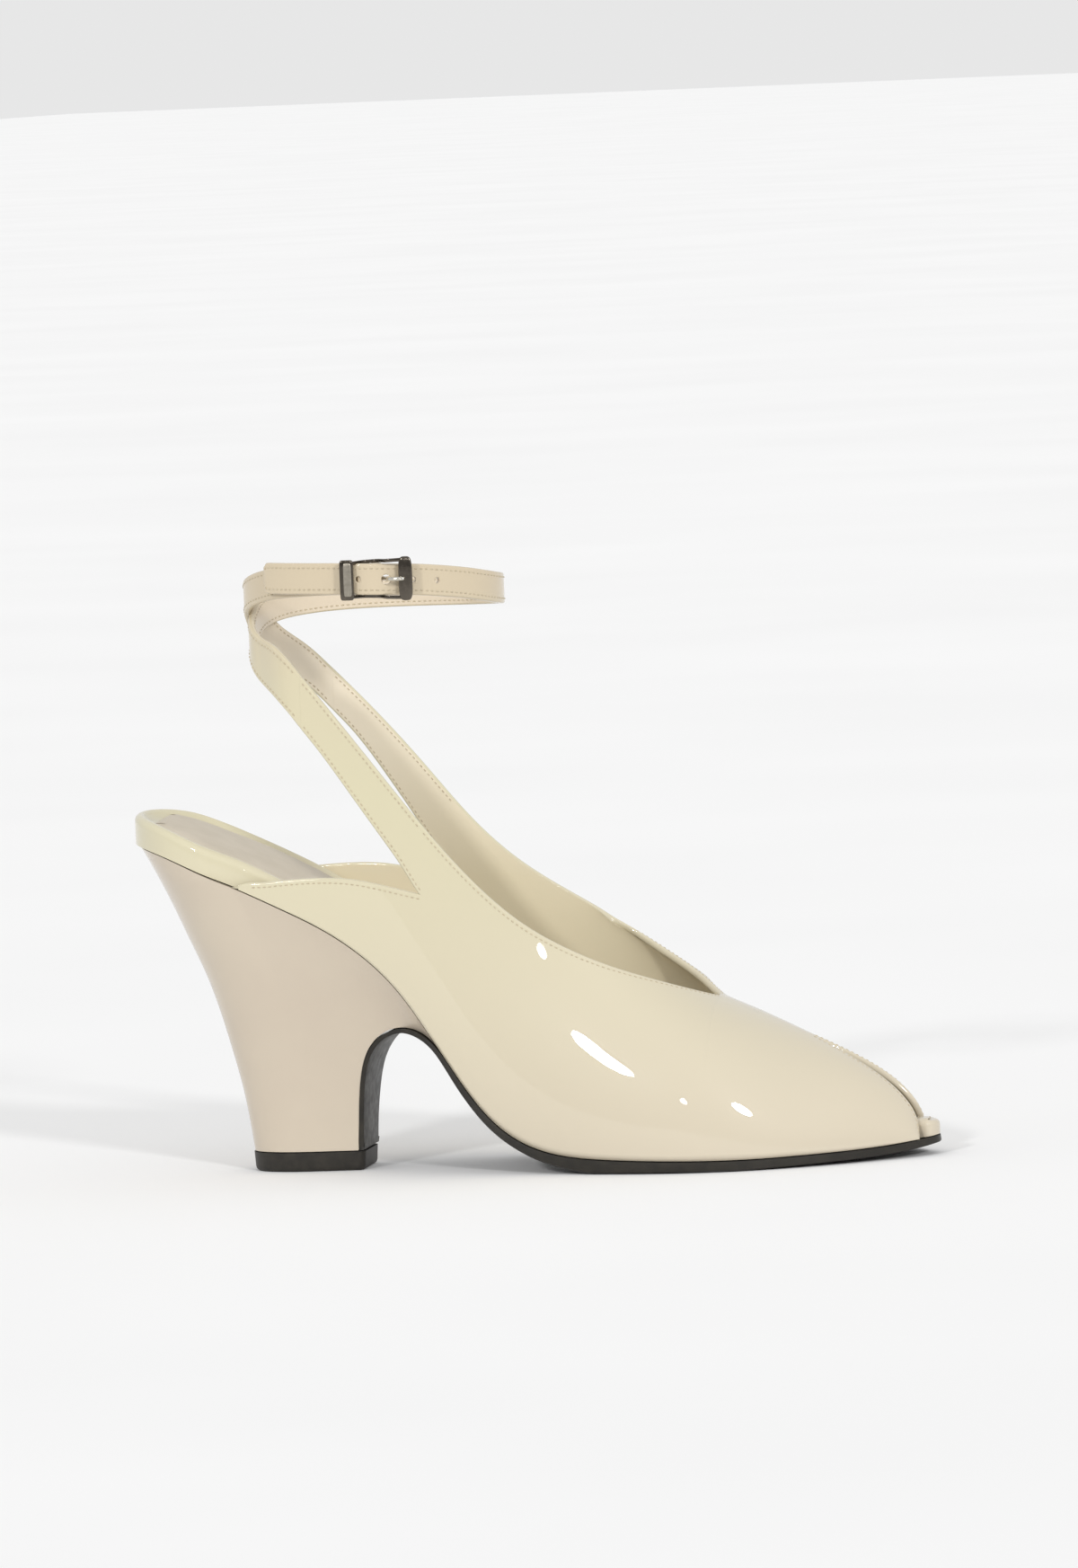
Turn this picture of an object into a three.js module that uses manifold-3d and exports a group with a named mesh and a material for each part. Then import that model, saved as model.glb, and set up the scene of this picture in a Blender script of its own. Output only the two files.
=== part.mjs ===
// A right-foot slingback pump with a slit toe, a crossed ankle strap and a covered heel of about 90 mm.
// Millimetres. X runs to the toe, Y to the inner side of the foot, Z up. The origin is the middle of the
// heel's face on the floor.
import * as THREE from "three";
import { mergeVertices } from "three/addons/utils/BufferGeometryUtils.js";
import Module from "manifold-3d";

// Driving sizes
const LENGTH = 221;
const HEEL_HEIGHT = 90;
const BALL_WIDTH = 74;
const ANKLE_LENGTH = 68.4;
const ANKLE_WIDTH = 53;
const STRAP_WIDTH = 7.6;
const STRAP_THICK = 1.8;
const WALL = 1.8;
const TOP_PIECE = 5.3;
const GAP = 0.3;
const SEAT_GAP = 0.35;

// Places that follow from the sizes
const SEAT_BACK = -0.215 * LENGTH;
const ANKLE_X = 0.105 * LENGTH;

const wasm = await Module();
wasm.setup();

// Outline of the shoe seen from above. along: share of LENGTH from the back. lateral, medial: half widths as
// shares of BALL_WIDTH. feather: height of the upper's lower edge, share of HEEL_HEIGHT. board: thickness of
// the insole in mm. tuck: how far the insole stands inside the outline in mm. edge: its rounding in mm.
const PLAN = [
  { along: 0, lateral: 0, medial: 0, feather: 1.02, board: 8.6, tuck: 0, edge: 2.4 },
  { along: 0.05, lateral: 0.277, medial: 0.277, feather: 0.99, board: 8.6, tuck: 0, edge: 2.4 },
  { along: 0.1, lateral: 0.327, medial: 0.327, feather: 0.938, board: 8.6, tuck: 0, edge: 2.4 },
  { along: 0.15, lateral: 0.341, medial: 0.34, feather: 0.885, board: 8.6, tuck: 2.3, edge: 2.4 },
  { along: 0.2, lateral: 0.348, medial: 0.34, feather: 0.827, board: 8.4, tuck: 2.6, edge: 2.4 },
  { along: 0.25, lateral: 0.352, medial: 0.331, feather: 0.764, board: 8, tuck: 2.6, edge: 2.4 },
  { along: 0.3, lateral: 0.355, medial: 0.315, feather: 0.68, board: 7.4, tuck: 2.6, edge: 2.4 },
  { along: 0.35, lateral: 0.359, medial: 0.298, feather: 0.554, board: 6.8, tuck: 2.6, edge: 2.4 },
  { along: 0.4, lateral: 0.366, medial: 0.286, feather: 0.368, board: 6.2, tuck: 2.7, edge: 2.4 },
  { along: 0.45, lateral: 0.382, medial: 0.28, feather: 0.192, board: 5.8, tuck: 2.7, edge: 2.4 },
  { along: 0.5, lateral: 0.409, medial: 0.292, feather: 0.096, board: 5.6, tuck: 2.7, edge: 2.4 },
  { along: 0.55, lateral: 0.443, medial: 0.324, feather: 0.058, board: 5.6, tuck: 2.6, edge: 2.4 },
  { along: 0.6, lateral: 0.476, medial: 0.37, feather: 0.046, board: 5.6, tuck: 2.6, edge: 2.4 },
  { along: 0.65, lateral: 0.5, medial: 0.419, feather: 0.041, board: 5.6, tuck: 2.6, edge: 2.4 },
  { along: 0.7, lateral: 0.508, medial: 0.462, feather: 0.038, board: 5.6, tuck: 2.6, edge: 2.4 },
  { along: 0.75, lateral: 0.492, medial: 0.482, feather: 0.036, board: 5.6, tuck: 2.6, edge: 2.4 },
  { along: 0.8, lateral: 0.449, medial: 0.473, feather: 0.036, board: 5.6, tuck: 2.8, edge: 2.6 },
  { along: 0.85, lateral: 0.381, medial: 0.427, feather: 0.038, board: 5.6, tuck: 3, edge: 3 },
  { along: 0.9, lateral: 0.295, medial: 0.346, feather: 0.041, board: 5.7, tuck: 3.4, edge: 3.4 },
  { along: 0.95, lateral: 0.184, medial: 0.224, feather: 0.047, board: 5.9, tuck: 4.4, edge: 4 },
  { along: 0.975, lateral: 0.121, medial: 0.146, feather: 0.053, board: 5.9, tuck: 5.2, edge: 4.4 },
  { along: 0.99, lateral: 0.073, medial: 0.088, feather: 0.058, board: 5.8, tuck: 1, edge: 4.6 },
  { along: 1, lateral: 0, medial: 0, feather: 0.062, board: 5.6, tuck: 0.3, edge: 4.6 },
];

// The heel breast and the arch, from the floor end up and over to where the sole meets the upper: shares of
// LENGTH from the origin and of HEEL_HEIGHT. thick, bevel: thickness of the sole there and how far its outer
// face stands inside its edge, mm.
const ARCH = [
  { forward: 0.061, up: 0.062, thick: 1.5, bevel: 1.8 },
  { forward: 0.0622, up: 0.144, thick: 1.5, bevel: 1.8 },
  { forward: 0.0652, up: 0.23, thick: 1.5, bevel: 1.7 },
  { forward: 0.0708, up: 0.308, thick: 1.4, bevel: 1.5 },
  { forward: 0.0808, up: 0.368, thick: 1.3, bevel: 1 },
  { forward: 0.096, up: 0.412, thick: 1.3, bevel: 0.6 },
  { forward: 0.115, up: 0.437, thick: 1.3, bevel: 0.4 },
  { forward: 0.1355, up: 0.443, thick: 1.3, bevel: 0.4 },
  { forward: 0.1535, up: 0.433, thick: 1.3, bevel: 0.4 },
  { forward: 0.17, up: 0.408, thick: 1.3, bevel: 0.4 },
];

// Thickness of the outsole from the shank to the toe in mm; it is cut flat at the floor under the ball.
const SOLE = [
  { along: 0.4, thick: 1.4 },
  { along: 0.45, thick: 1.9 },
  { along: 0.5, thick: 2.3 },
  { along: 0.55, thick: 3.3 },
  { along: 0.6, thick: 4.2 },
  { along: 0.65, thick: 4.4 },
  { along: 0.7, thick: 4.2 },
  { along: 0.75, thick: 3.2 },
  { along: 0.8, thick: 2.6 },
  { along: 0.85, thick: 2.4 },
  { along: 0.9, thick: 2.3 },
  { along: 0.95, thick: 2.2 },
  { along: 1, thick: 1.9 },
];

// The heel at rising heights. up: share of HEEL_HEIGHT. back: how far it reaches behind the origin, share of
// LENGTH. wide: place of the widest point, share of LENGTH.
const HEEL = [
  { up: 0.058, back: -0.0805, wide: -0.01 },
  { up: 0.256, back: -0.0925, wide: -0.012 },
  { up: 0.395, back: -0.106, wide: -0.016 },
  { up: 0.525, back: -0.1205, wide: -0.024 },
  { up: 0.627, back: -0.135, wide: -0.034 },
  { up: 0.716, back: -0.1505, wide: -0.046 },
  { up: 0.806, back: -0.166, wide: -0.06 },
  { up: 0.888, back: -0.181, wide: -0.075 },
  { up: 0.97, back: -0.198, wide: -0.09 },
  { up: 1.03, back: -0.212, wide: -0.1 },
];

// The upper's sections from the tail to the toe. along: share of LENGTH. outer, inner: height of the top edge
// or of the ridge on the lateral and medial side, shares of HEEL_HEIGHT. outerHalf, innerHalf: its distance
// from the middle, shares of BALL_WIDTH. ridge: offset of the middle, mm. crown: how far the inner side
// stands above its edge, mm.
const BODY = [
  { along: 0.15, outer: 1.78, inner: 1.735, outerHalf: 0.304, innerHalf: 0.304, ridge: 0, crown: 0 },
  { along: 0.2, outer: 1.64, inner: 1.608, outerHalf: 0.314, innerHalf: 0.314, ridge: 0, crown: 0 },
  { along: 0.25, outer: 1.487, inner: 1.481, outerHalf: 0.324, innerHalf: 0.324, ridge: 0, crown: 0 },
  { along: 0.3, outer: 1.33, inner: 1.347, outerHalf: 0.338, innerHalf: 0.333, ridge: 0, crown: 0 },
  { along: 0.35, outer: 1.169, inner: 1.203, outerHalf: 0.343, innerHalf: 0.333, ridge: 0, crown: 0 },
  { along: 0.4, outer: 1.01, inner: 1.056, outerHalf: 0.341, innerHalf: 0.326, ridge: 0, crown: 0 },
  { along: 0.45, outer: 0.872, inner: 0.933, outerHalf: 0.341, innerHalf: 0.321, ridge: 0, crown: 0.6 },
  { along: 0.5, outer: 0.764, inner: 0.838, outerHalf: 0.343, innerHalf: 0.319, ridge: 0, crown: 1.8 },
  { along: 0.55, outer: 0.688, inner: 0.762, outerHalf: 0.338, innerHalf: 0.316, ridge: 0, crown: 2.8 },
  { along: 0.6, outer: 0.63, inner: 0.694, outerHalf: 0.315, innerHalf: 0.302, ridge: 0, crown: 3.1 },
  { along: 0.65, outer: 0.582, inner: 0.624, outerHalf: 0.258, innerHalf: 0.258, ridge: 0, crown: 2.7 },
  { along: 0.7, outer: 0.536, inner: 0.552, outerHalf: 0.162, innerHalf: 0.165, ridge: 0, crown: 1.6 },
  { along: 0.7335, outer: 0.501, inner: 0.501, outerHalf: 0, innerHalf: 0, ridge: 0, crown: 0 },
  { along: 0.78, outer: 0.449, inner: 0.449, outerHalf: 0, innerHalf: 0, ridge: 0.5, crown: 0 },
  { along: 0.8375, outer: 0.38, inner: 0.38, outerHalf: 0, innerHalf: 0, ridge: 1.1, crown: 0 },
  { along: 0.885, outer: 0.324, inner: 0.32, outerHalf: 0.03, innerHalf: 0.03, ridge: 1.4, crown: 0 },
  { along: 0.925, outer: 0.266, inner: 0.257, outerHalf: 0.046, innerHalf: 0.046, ridge: 1.4, crown: 0 },
  { along: 0.953, outer: 0.209, inner: 0.195, outerHalf: 0.056, innerHalf: 0.056, ridge: 1.2, crown: 0 },
  { along: 0.97, outer: 0.154, inner: 0.136, outerHalf: 0.067, innerHalf: 0.067, ridge: 1, crown: 0 },
  { along: 0.9765, outer: 0.108, inner: 0.088, outerHalf: 0.08, innerHalf: 0.085, ridge: 0.8, crown: 0 },
  { along: 0.979, outer: 0.056, inner: 0.056, outerHalf: 0.104, innerHalf: 0.119, ridge: 0.7, crown: 0 },
];

// How those sections curve, row for row. bulge: how far the lower handle stands outside the lower edge, mm.
// rise, drop: the pull of the lower and the upper handle, shares of the section's height.
const CURVE = [
  { along: 0.15, bulge: 0.6, rise: 0.33, drop: 0.33 },
  { along: 0.2, bulge: 0.7, rise: 0.33, drop: 0.33 },
  { along: 0.25, bulge: 0.9, rise: 0.33, drop: 0.33 },
  { along: 0.3, bulge: 1.2, rise: 0.33, drop: 0.33 },
  { along: 0.35, bulge: 1.6, rise: 0.33, drop: 0.33 },
  { along: 0.4, bulge: 2.1, rise: 0.33, drop: 0.33 },
  { along: 0.45, bulge: 2.6, rise: 0.33, drop: 0.33 },
  { along: 0.5, bulge: 3, rise: 0.34, drop: 0.32 },
  { along: 0.55, bulge: 3.2, rise: 0.35, drop: 0.29 },
  { along: 0.6, bulge: 3, rise: 0.38, drop: 0.24 },
  { along: 0.65, bulge: 2.4, rise: 0.42, drop: 0.18 },
  { along: 0.7, bulge: 1.8, rise: 0.46, drop: 0.11 },
  { along: 0.7335, bulge: 1.2, rise: 0.49, drop: 0.05 },
  { along: 0.78, bulge: 0.8, rise: 0.5, drop: 0.03 },
  { along: 0.8375, bulge: 0.5, rise: 0.5, drop: 0.03 },
  { along: 0.885, bulge: 0.3, rise: 0.5, drop: 0.04 },
  { along: 0.925, bulge: 0.1, rise: 0.48, drop: 0.07 },
  { along: 0.953, bulge: 0, rise: 0.44, drop: 0.13 },
  { along: 0.97, bulge: 0, rise: 0.38, drop: 0.22 },
  { along: 0.9765, bulge: 0, rise: 0.34, drop: 0.3 },
  { along: 0.979, bulge: 0, rise: 0.33, drop: 0.33 },
];

// Row numbers of the body where the opening ends and where the toe's slit begins
const THROAT = 12;
const SLIT = 14;

// Top edge of the quarters' tails and rear edge of the slings: along as a share of LENGTH, heights as shares
// of HEEL_HEIGHT on the lateral and medial side.
const TAIL = [
  { along: 0.1475, outer: 0.888, inner: 0.888 },
  { along: 0.155, outer: 0.896, inner: 0.896 },
  { along: 0.175, outer: 0.9, inner: 0.9 },
  { along: 0.2, outer: 0.903, inner: 0.904 },
  { along: 0.25, outer: 0.909, inner: 0.911 },
  { along: 0.3, outer: 0.9, inner: 0.905 },
  { along: 0.35, outer: 0.871, inner: 0.88 },
  { along: 0.3833, outer: 0.85, inner: 0.866 },
];
const SLING = [
  { along: 0.2375, outer: 1.376, inner: 1.394 },
  { along: 0.26, outer: 1.304, inner: 1.333 },
  { along: 0.3, outer: 1.163, inner: 1.197 },
  { along: 0.34, outer: 1.02, inner: 1.046 },
  { along: 0.36, outer: 0.945, inner: 0.965 },
  { along: 0.3755, outer: 0.88, inner: 0.897 },
  { along: 0.3833, outer: 0.85, inner: 0.866 },
];

// The two straps round the ankle. turn: degrees round the ankle from the front, toward the inner side; the
// first row is where the strap leaves its sling.
// mid: height of the strap's middle, share of HEEL_HEIGHT. tall: its height there, share of STRAP_WIDTH.
// out: distance from the ankle's outline, mm.
const LONG_STRAP = [
  { turn: 236.9, mid: 1.457, tall: 1.78, out: 0 },
  { turn: 230, mid: 1.5, tall: 1.77, out: 0 },
  { turn: 222, mid: 1.556, tall: 1.7, out: 0 },
  { turn: 214, mid: 1.598, tall: 1.55, out: 0 },
  { turn: 206, mid: 1.629, tall: 1.38, out: 0 },
  { turn: 197, mid: 1.657, tall: 1.23, out: 0 },
  { turn: 187, mid: 1.68, tall: 1.12, out: 0 },
  { turn: 176, mid: 1.698, tall: 1.06, out: 0 },
  { turn: 162, mid: 1.717, tall: 1.01, out: 0 },
  { turn: 148, mid: 1.731, tall: 1, out: 0 },
  { turn: 129, mid: 1.742, tall: 1, out: 0 },
  { turn: 104, mid: 1.748, tall: 1, out: 0 },
  { turn: 72, mid: 1.75, tall: 1, out: 0 },
  { turn: 50, mid: 1.752, tall: 1, out: 0 },
  { turn: 25, mid: 1.757, tall: 1, out: 0 },
  { turn: 0, mid: 1.765, tall: 1, out: 0 },
  { turn: -20, mid: 1.778, tall: 1, out: 0 },
  { turn: -38, mid: 1.794, tall: 1, out: 0.3 },
  { turn: -53, mid: 1.806, tall: 1, out: 1.4 },
  { turn: -67, mid: 1.815, tall: 1, out: 2.8 },
  { turn: -84, mid: 1.821, tall: 1, out: 3.9 },
  { turn: -96, mid: 1.824, tall: 1, out: 3.1 },
  { turn: -112, mid: 1.826, tall: 1, out: 2.3 },
  { turn: -134.5, mid: 1.828, tall: 1, out: 2.2 },
];
const SHORT_STRAP = [
  { turn: 123.1, mid: 1.453, tall: 1.42, out: 0 },
  { turn: 134, mid: 1.514, tall: 1.46, out: 0.6 },
  { turn: 144, mid: 1.567, tall: 1.48, out: 1.8 },
  { turn: 154, mid: 1.618, tall: 1.46, out: 2.3 },
  { turn: 163, mid: 1.663, tall: 1.4, out: 2.3 },
  { turn: 172, mid: 1.705, tall: 1.3, out: 2.3 },
  { turn: 181, mid: 1.739, tall: 1.17, out: 2.2 },
  { turn: 191, mid: 1.766, tall: 1.06, out: 2.15 },
  { turn: 202, mid: 1.787, tall: 1.02, out: 1.3 },
  { turn: 214, mid: 1.802, tall: 1, out: 0.4 },
  { turn: 228, mid: 1.812, tall: 0.98, out: 0 },
  { turn: 250, mid: 1.819, tall: 0.97, out: -0.1 },
  { turn: 269, mid: 1.821, tall: 1, out: -0.3 },
];

// The buckle, mm: its own frame runs along the strap (T), away from the foot (N) and up, from its hinge.
// BAR: the frame's two upright bars. RAIL: its two rails, which dip to the hinge. PRONG_AT: where the prong
// goes through the strap. HOLE_PITCH: distance of the strap's holes.
const BUCKLE_TURN = -84;
const BUCKLE_UP = 1.821 * HEEL_HEIGHT;
const FRAME_TALL = 12;
const FRAME_BACK = -8.1;
const FRAME_FRONT = 11.8;
const RAIL = 1.3;
const RAIL_DEEP = 1.2;
const BAR_WIDE = 3.8;
const BAR_THICK = 1.5;
const BAR_OUT = 5.6;
const HINGE_OUT = 0.9;
const HINGE_RADIUS = 0.6;
const PRONG_AT = 4;
const HOLE_PITCH = 6.9;
const DEGREES_PER_MM = 1.68;
const HOLE_RADIUS = 1.3;
const SPARE_RADIUS = 0.62 * HOLE_RADIUS;

// Natural cubic spline through points, straight beyond its ends.
function spline(xs, ys) {
  const n = xs.length;
  const bend = new Array(n).fill(0);
  const work = new Array(n).fill(0);
  for (let i = 1; i < n - 1; i++) {
    const left = xs[i] - xs[i - 1];
    const right = xs[i + 1] - xs[i];
    const share = left / (left + right);
    const pivot = share * bend[i - 1] + 2;
    const step = (ys[i + 1] - ys[i]) / right - (ys[i] - ys[i - 1]) / left;
    bend[i] = (share - 1) / pivot;
    work[i] = ((6 * step) / (left + right) - share * work[i - 1]) / pivot;
  }
  bend[n - 1] = 0;
  for (let i = n - 2; i >= 0; i--) bend[i] = bend[i] * bend[i + 1] + work[i];
  return (x) => {
    let i = 0;
    while (i < n - 2 && x > xs[i + 1]) i++;
    const width = xs[i + 1] - xs[i];
    const at = Math.min(Math.max(x, xs[0]), xs[n - 1]);
    const a = (xs[i + 1] - at) / width;
    const b = (at - xs[i]) / width;
    const curve = ((a * a * a - a) * bend[i] + (b * b * b - b) * bend[i + 1]) * width * width;
    const slope =
      (ys[i + 1] - ys[i]) / width +
      (((1 - 3 * a * a) * bend[i] + (3 * b * b - 1) * bend[i + 1]) * width) / 6;
    return a * ys[i] + b * ys[i + 1] + curve / 6 + slope * (x - at);
  };
}

const column = (table, key, name, scale = 1) =>
  spline(
    table.map((row) => row[key]),
    table.map((row) => row[name] * scale),
  );
const rowsOf = (table, name, scale = 1) =>
  spline(
    table.map((row, i) => i),
    table.map((row) => row[name] * scale),
  );
const shareOf = (x) => (x - SEAT_BACK) / LENGTH;
const placeOf = (share) => SEAT_BACK + share * LENGTH;

// Half widths come from a spline through their squares, so the ends are round.
const squares = {};
for (const side of ["lateral", "medial"]) {
  squares[side] = spline(
    PLAN.map((row) => row.along),
    PLAN.map((row) => (row[side] * BALL_WIDTH) ** 2),
  );
}
const halfWidth = (side, x) =>
  Math.sqrt(Math.max(0, squares[side < 0 ? "lateral" : "medial"](Math.min(1, shareOf(x)))));
const featherOf = column(PLAN, "along", "feather", HEEL_HEIGHT);
const feather = (x) => featherOf(shareOf(x));

// Builds a closed geometry from points and triangles; drops triangles without an area and turns the whole
// outward.
function closed(points, triangles) {
  const loose = new THREE.BufferGeometry();
  const flat = [];
  for (const corner of triangles.flat()) flat.push(...points[corner]);
  loose.setAttribute("position", new THREE.Float32BufferAttribute(flat, 3));
  const merged = mergeVertices(loose, 1e-3);
  const index = merged.index.array;
  const kept = [];
  for (let i = 0; i < index.length; i += 3) {
    const [a, b, c] = [index[i], index[i + 1], index[i + 2]];
    if (a !== b && b !== c && c !== a) kept.push(a, b, c);
  }
  const at = merged.attributes.position;
  let volume = 0;
  for (let i = 0; i < kept.length; i += 3) {
    const [a, b, c] = [kept[i], kept[i + 1], kept[i + 2]];
    volume +=
      at.getX(a) * (at.getY(b) * at.getZ(c) - at.getZ(b) * at.getY(c)) +
      at.getY(a) * (at.getZ(b) * at.getX(c) - at.getX(b) * at.getZ(c)) +
      at.getZ(a) * (at.getX(b) * at.getY(c) - at.getY(b) * at.getX(c));
  }
  if (volume < 0) kept.reverse();
  merged.setIndex(kept);
  return merged;
}

const toSolid = (geometry) => {
  const merged = mergeVertices(geometry, 1e-4);
  return new wasm.Manifold(
    new wasm.Mesh({
      numProp: 3,
      vertProperties: new Float32Array(merged.attributes.position.array),
      triVerts: new Uint32Array(merged.index.array),
    }),
  );
};
const toGeometry = (solid) => {
  const mesh = solid.getMesh();
  const at = new Float32Array(mesh.numVert * 3);
  for (let i = 0; i < mesh.numVert; i++) {
    at.set(mesh.vertProperties.subarray(i * mesh.numProp, i * mesh.numProp + 3), i * 3);
  }
  return new THREE.BufferGeometry()
    .setAttribute("position", new THREE.BufferAttribute(at, 3))
    .setIndex(new THREE.BufferAttribute(new Uint32Array(mesh.triVerts), 1));
};

// A solid between stacked rings. lateral and medial are edges from the back end to the front tip that they
// share; levels say how far each ring stands inside the edge and where it lies.
function slab(lateral, medial, levels, place) {
  const last = lateral.length - 1;
  const pointed = Math.abs(lateral[0][1] - medial[0][1]) < 1e-6;
  const ring = [...lateral];
  for (let i = last - 1; i >= (pointed ? 1 : 0); i--) ring.push(medial[i]);
  const size = ring.length;
  const other = (i) => (i === last ? last : pointed && i === 0 ? 0 : 2 * last - i);
  const inward = ring.map((p, i) => {
    const before = ring[(i + size - 1) % size];
    const after = ring[(i + 1) % size];
    const along = [after[0] - before[0], after[1] - before[1]];
    const long = Math.hypot(...along) || 1;
    return [-along[1] / long, along[0] / long];
  });
  const points = [];
  for (const level of levels) {
    ring.forEach((p, i) => {
      const deep = level.inset(p[0]);
      points.push(place(p[0] + inward[i][0] * deep, p[1] + inward[i][1] * deep, level, p[0]));
    });
  }
  const triangles = [];
  for (let k = 0; k < levels.length - 1; k++) {
    for (let i = 0; i < size; i++) {
      const next = (i + 1) % size;
      const [a, b] = [k * size + i, k * size + next];
      triangles.push([a, b, b + size], [a, b + size, a + size]);
    }
  }
  const top = (levels.length - 1) * size;
  for (let i = 0; i < last; i++) {
    const [a, b, c, d] = [i, i + 1, other(i + 1), other(i)];
    triangles.push([a, c, b], [a, d, c]);
    triangles.push([top + a, top + b, top + c], [top + a, top + c, top + d]);
  }
  return closed(points, triangles);
}


// Steps from one share to another, closer together at both ends.
const roundShares = (count, from = 0, to = 1) =>
  Array.from({ length: count + 1 }, (_, i) => {
    const share = (1 - Math.cos((Math.PI * i) / count)) / 2;
    return from + (to - from) * share;
  });

// Heel
const heelBack = column(HEEL, "up", "back", LENGTH);
const heelWide = column(HEEL, "up", "wide", LENGTH);
const HEEL_ROUND = 2.2;
const HEEL_FLARE = 1.65;
const HEEL_FOOT = 0.152 * BALL_WIDTH;
const HEEL_TAPER = 0.012 * BALL_WIDTH;
const SHANK_HALF = 0.25 * BALL_WIDTH;

// Half width of the heel's outside at a place and a height: narrow at the floor, flush with the upper's lower
// edge at the top.
function heelHalf(side, x, z) {
  const seat = feather(x);
  const rise = Math.min(1.02, Math.max(0, (z - TOP_PIECE) / (seat - TOP_PIECE)));
  const top = Math.max(halfWidth(side, x), SHANK_HALF);
  const foot = HEEL_FOOT - HEEL_TAPER * Math.max(0, x / (0.057 * LENGTH));
  return foot + (top - foot) * rise ** HEEL_FLARE;
}
function heelY(side, x, z) {
  const [back, wide] = [heelBack(z / HEEL_HEIGHT), heelWide(z / HEEL_HEIGHT)];
  const behind = Math.min(1, Math.max(0, (wide - x) / (wide - back)));
  const around = (1 - behind ** HEEL_ROUND) ** (1 / HEEL_ROUND);
  return side * heelHalf(side, Math.max(x, wide), z) * around;
}
const pathRows = ARCH.map((row) => ({ ...row, x: row.forward * LENGTH, z: row.up * HEEL_HEIGHT }));
const soleThick = column(SOLE, "along", "thick");
for (let along = 0.4; along < 1.0001; along += 0.02) {
  const x = placeOf(along);
  const thick = soleThick(along);
  pathRows.push({ x, z: feather(x) - GAP, thick, bevel: 0.4 + Math.max(0, thick - 2.6) });
}
const pathAt = [0];
for (let i = 1; i < pathRows.length; i++) {
  const [a, b] = [pathRows[i - 1], pathRows[i]];
  pathAt.push(pathAt[i - 1] + Math.hypot(b.x - a.x, b.z - a.z));
}
const pathX = spline(pathAt, pathRows.map((row) => row.x));
const pathZ = spline(pathAt, pathRows.map((row) => row.z));
const pathThick = spline(pathAt, pathRows.map((row) => row.thick));
const pathBevel = spline(pathAt, pathRows.map((row) => row.bevel));
const PATH_LONG = pathAt[pathAt.length - 1];
const ARCH_LONG = pathAt[ARCH.length - 1];

// Point of the sole's top line, moved along its normal.
function pathPoint(q, away) {
  const [x, z] = [pathX(q), pathZ(q)];
  const [dx, dz] = [pathX(q + 0.01) - pathX(q - 0.01), pathZ(q + 0.01) - pathZ(q - 0.01)];
  const long = Math.hypot(dx, dz);
  return [x - (dz / long) * away, z + (dx / long) * away];
}

// The heel's side is a net of lines that run from the floor or the arch up to the seat. Behind the widest
// place they follow the back; ahead of it they fan out to the tip of the arch.
function makeHeel() {
  const BEHIND = 12;
  const AHEAD = 26;
  const ROWS = 14;
  const floor = TOP_PIECE + GAP;
  const seatAt = (x) => feather(x) - SEAT_GAP;
  let [near, past] = [ARCH_LONG - 3, ARCH_LONG + 4];
  for (let i = 0; i < 50; i++) {
    const middle = (near + past) / 2;
    const [x, z] = pathPoint(middle, GAP);
    if (z < seatAt(x)) near = middle;
    else past = middle;
  }
  const tipX = pathPoint(near, GAP)[0];
  const seatX = (share) => seatStart[0] + (tipX - seatStart[0]) * share;
  const climb = (lineX) => {
    let [low, high] = [floor, 1.1 * HEEL_HEIGHT];
    for (let i = 0; i < 50; i++) {
      const middle = (low + high) / 2;
      if (middle < seatAt(lineX(middle))) low = middle;
      else high = middle;
    }
    return (low + high) / 2;
  };
  const wideX = (z) => heelWide(z / HEEL_HEIGHT);
  const seatZ = climb(wideX);
  const seatStart = [wideX(seatZ), seatZ];
  const grid = [];
  for (let i = 0; i < BEHIND; i++) {
    const behind = Math.cos((Math.PI / 2) * (i / BEHIND));
    const lineX = (z) => wideX(z) - behind * (wideX(z) - heelBack(z / HEEL_HEIGHT));
    const top = climb(lineX);
    const heights = Array.from({ length: ROWS + 1 }, (_, j) => floor + ((top - floor) * j) / ROWS);
    grid.push(heights.map((z) => [lineX(z), z]));
  }
  const front = ARCH[0].forward * LENGTH;
  const run = front - wideX(floor);
  const whole = run + near;
  for (let i = 0; i <= AHEAD; i++) {
    const share = i / AHEAD;
    const way = share * whole;
    const foot = way < run ? [wideX(floor) + way, floor] : pathPoint(way - run, GAP);
    const topX = seatX(share ** 0.8);
    const top = i === AHEAD ? foot : [topX, seatAt(topX)];
    const line = [];
    for (let j = 0; j <= ROWS; j++) {
      const z = foot[1] + ((top[1] - foot[1]) * j) / ROWS;
      const straight = foot[0] + ((top[0] - foot[0]) * j) / ROWS;
      const plain = wideX(floor) + ((seatStart[0] - wideX(floor)) * (z - floor)) / (seatZ - floor);
      line.push([straight + (1 - share) ** 3 * (wideX(z) - plain) * (j > 0 && j < ROWS ? 1 : 0), z]);
    }
    grid.push(line);
  }
  const size = ROWS + 1;
  const points = [];
  for (const side of [-1, 1]) {
    for (const line of grid) {
      for (const [x, z] of line) points.push([x, heelY(side, x, z), z]);
    }
  }
  const far = grid.length * size;
  const triangles = [];
  for (let i = 0; i < grid.length - 1; i++) {
    for (let j = 0; j < ROWS; j++) {
      const a = i * size + j;
      const b = a + size;
      triangles.push([a, b, b + 1], [a, b + 1, a + 1]);
      triangles.push([far + a, far + b + 1, far + b], [far + a, far + a + 1, far + b + 1]);
    }
    const [low, high] = [i * size, i * size + ROWS];
    triangles.push([low, far + low, far + low + size], [low, far + low + size, low + size]);
    triangles.push([high, high + size, far + high + size], [high, far + high + size, far + high]);
  }
  return closed(points, triangles);
}

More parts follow.
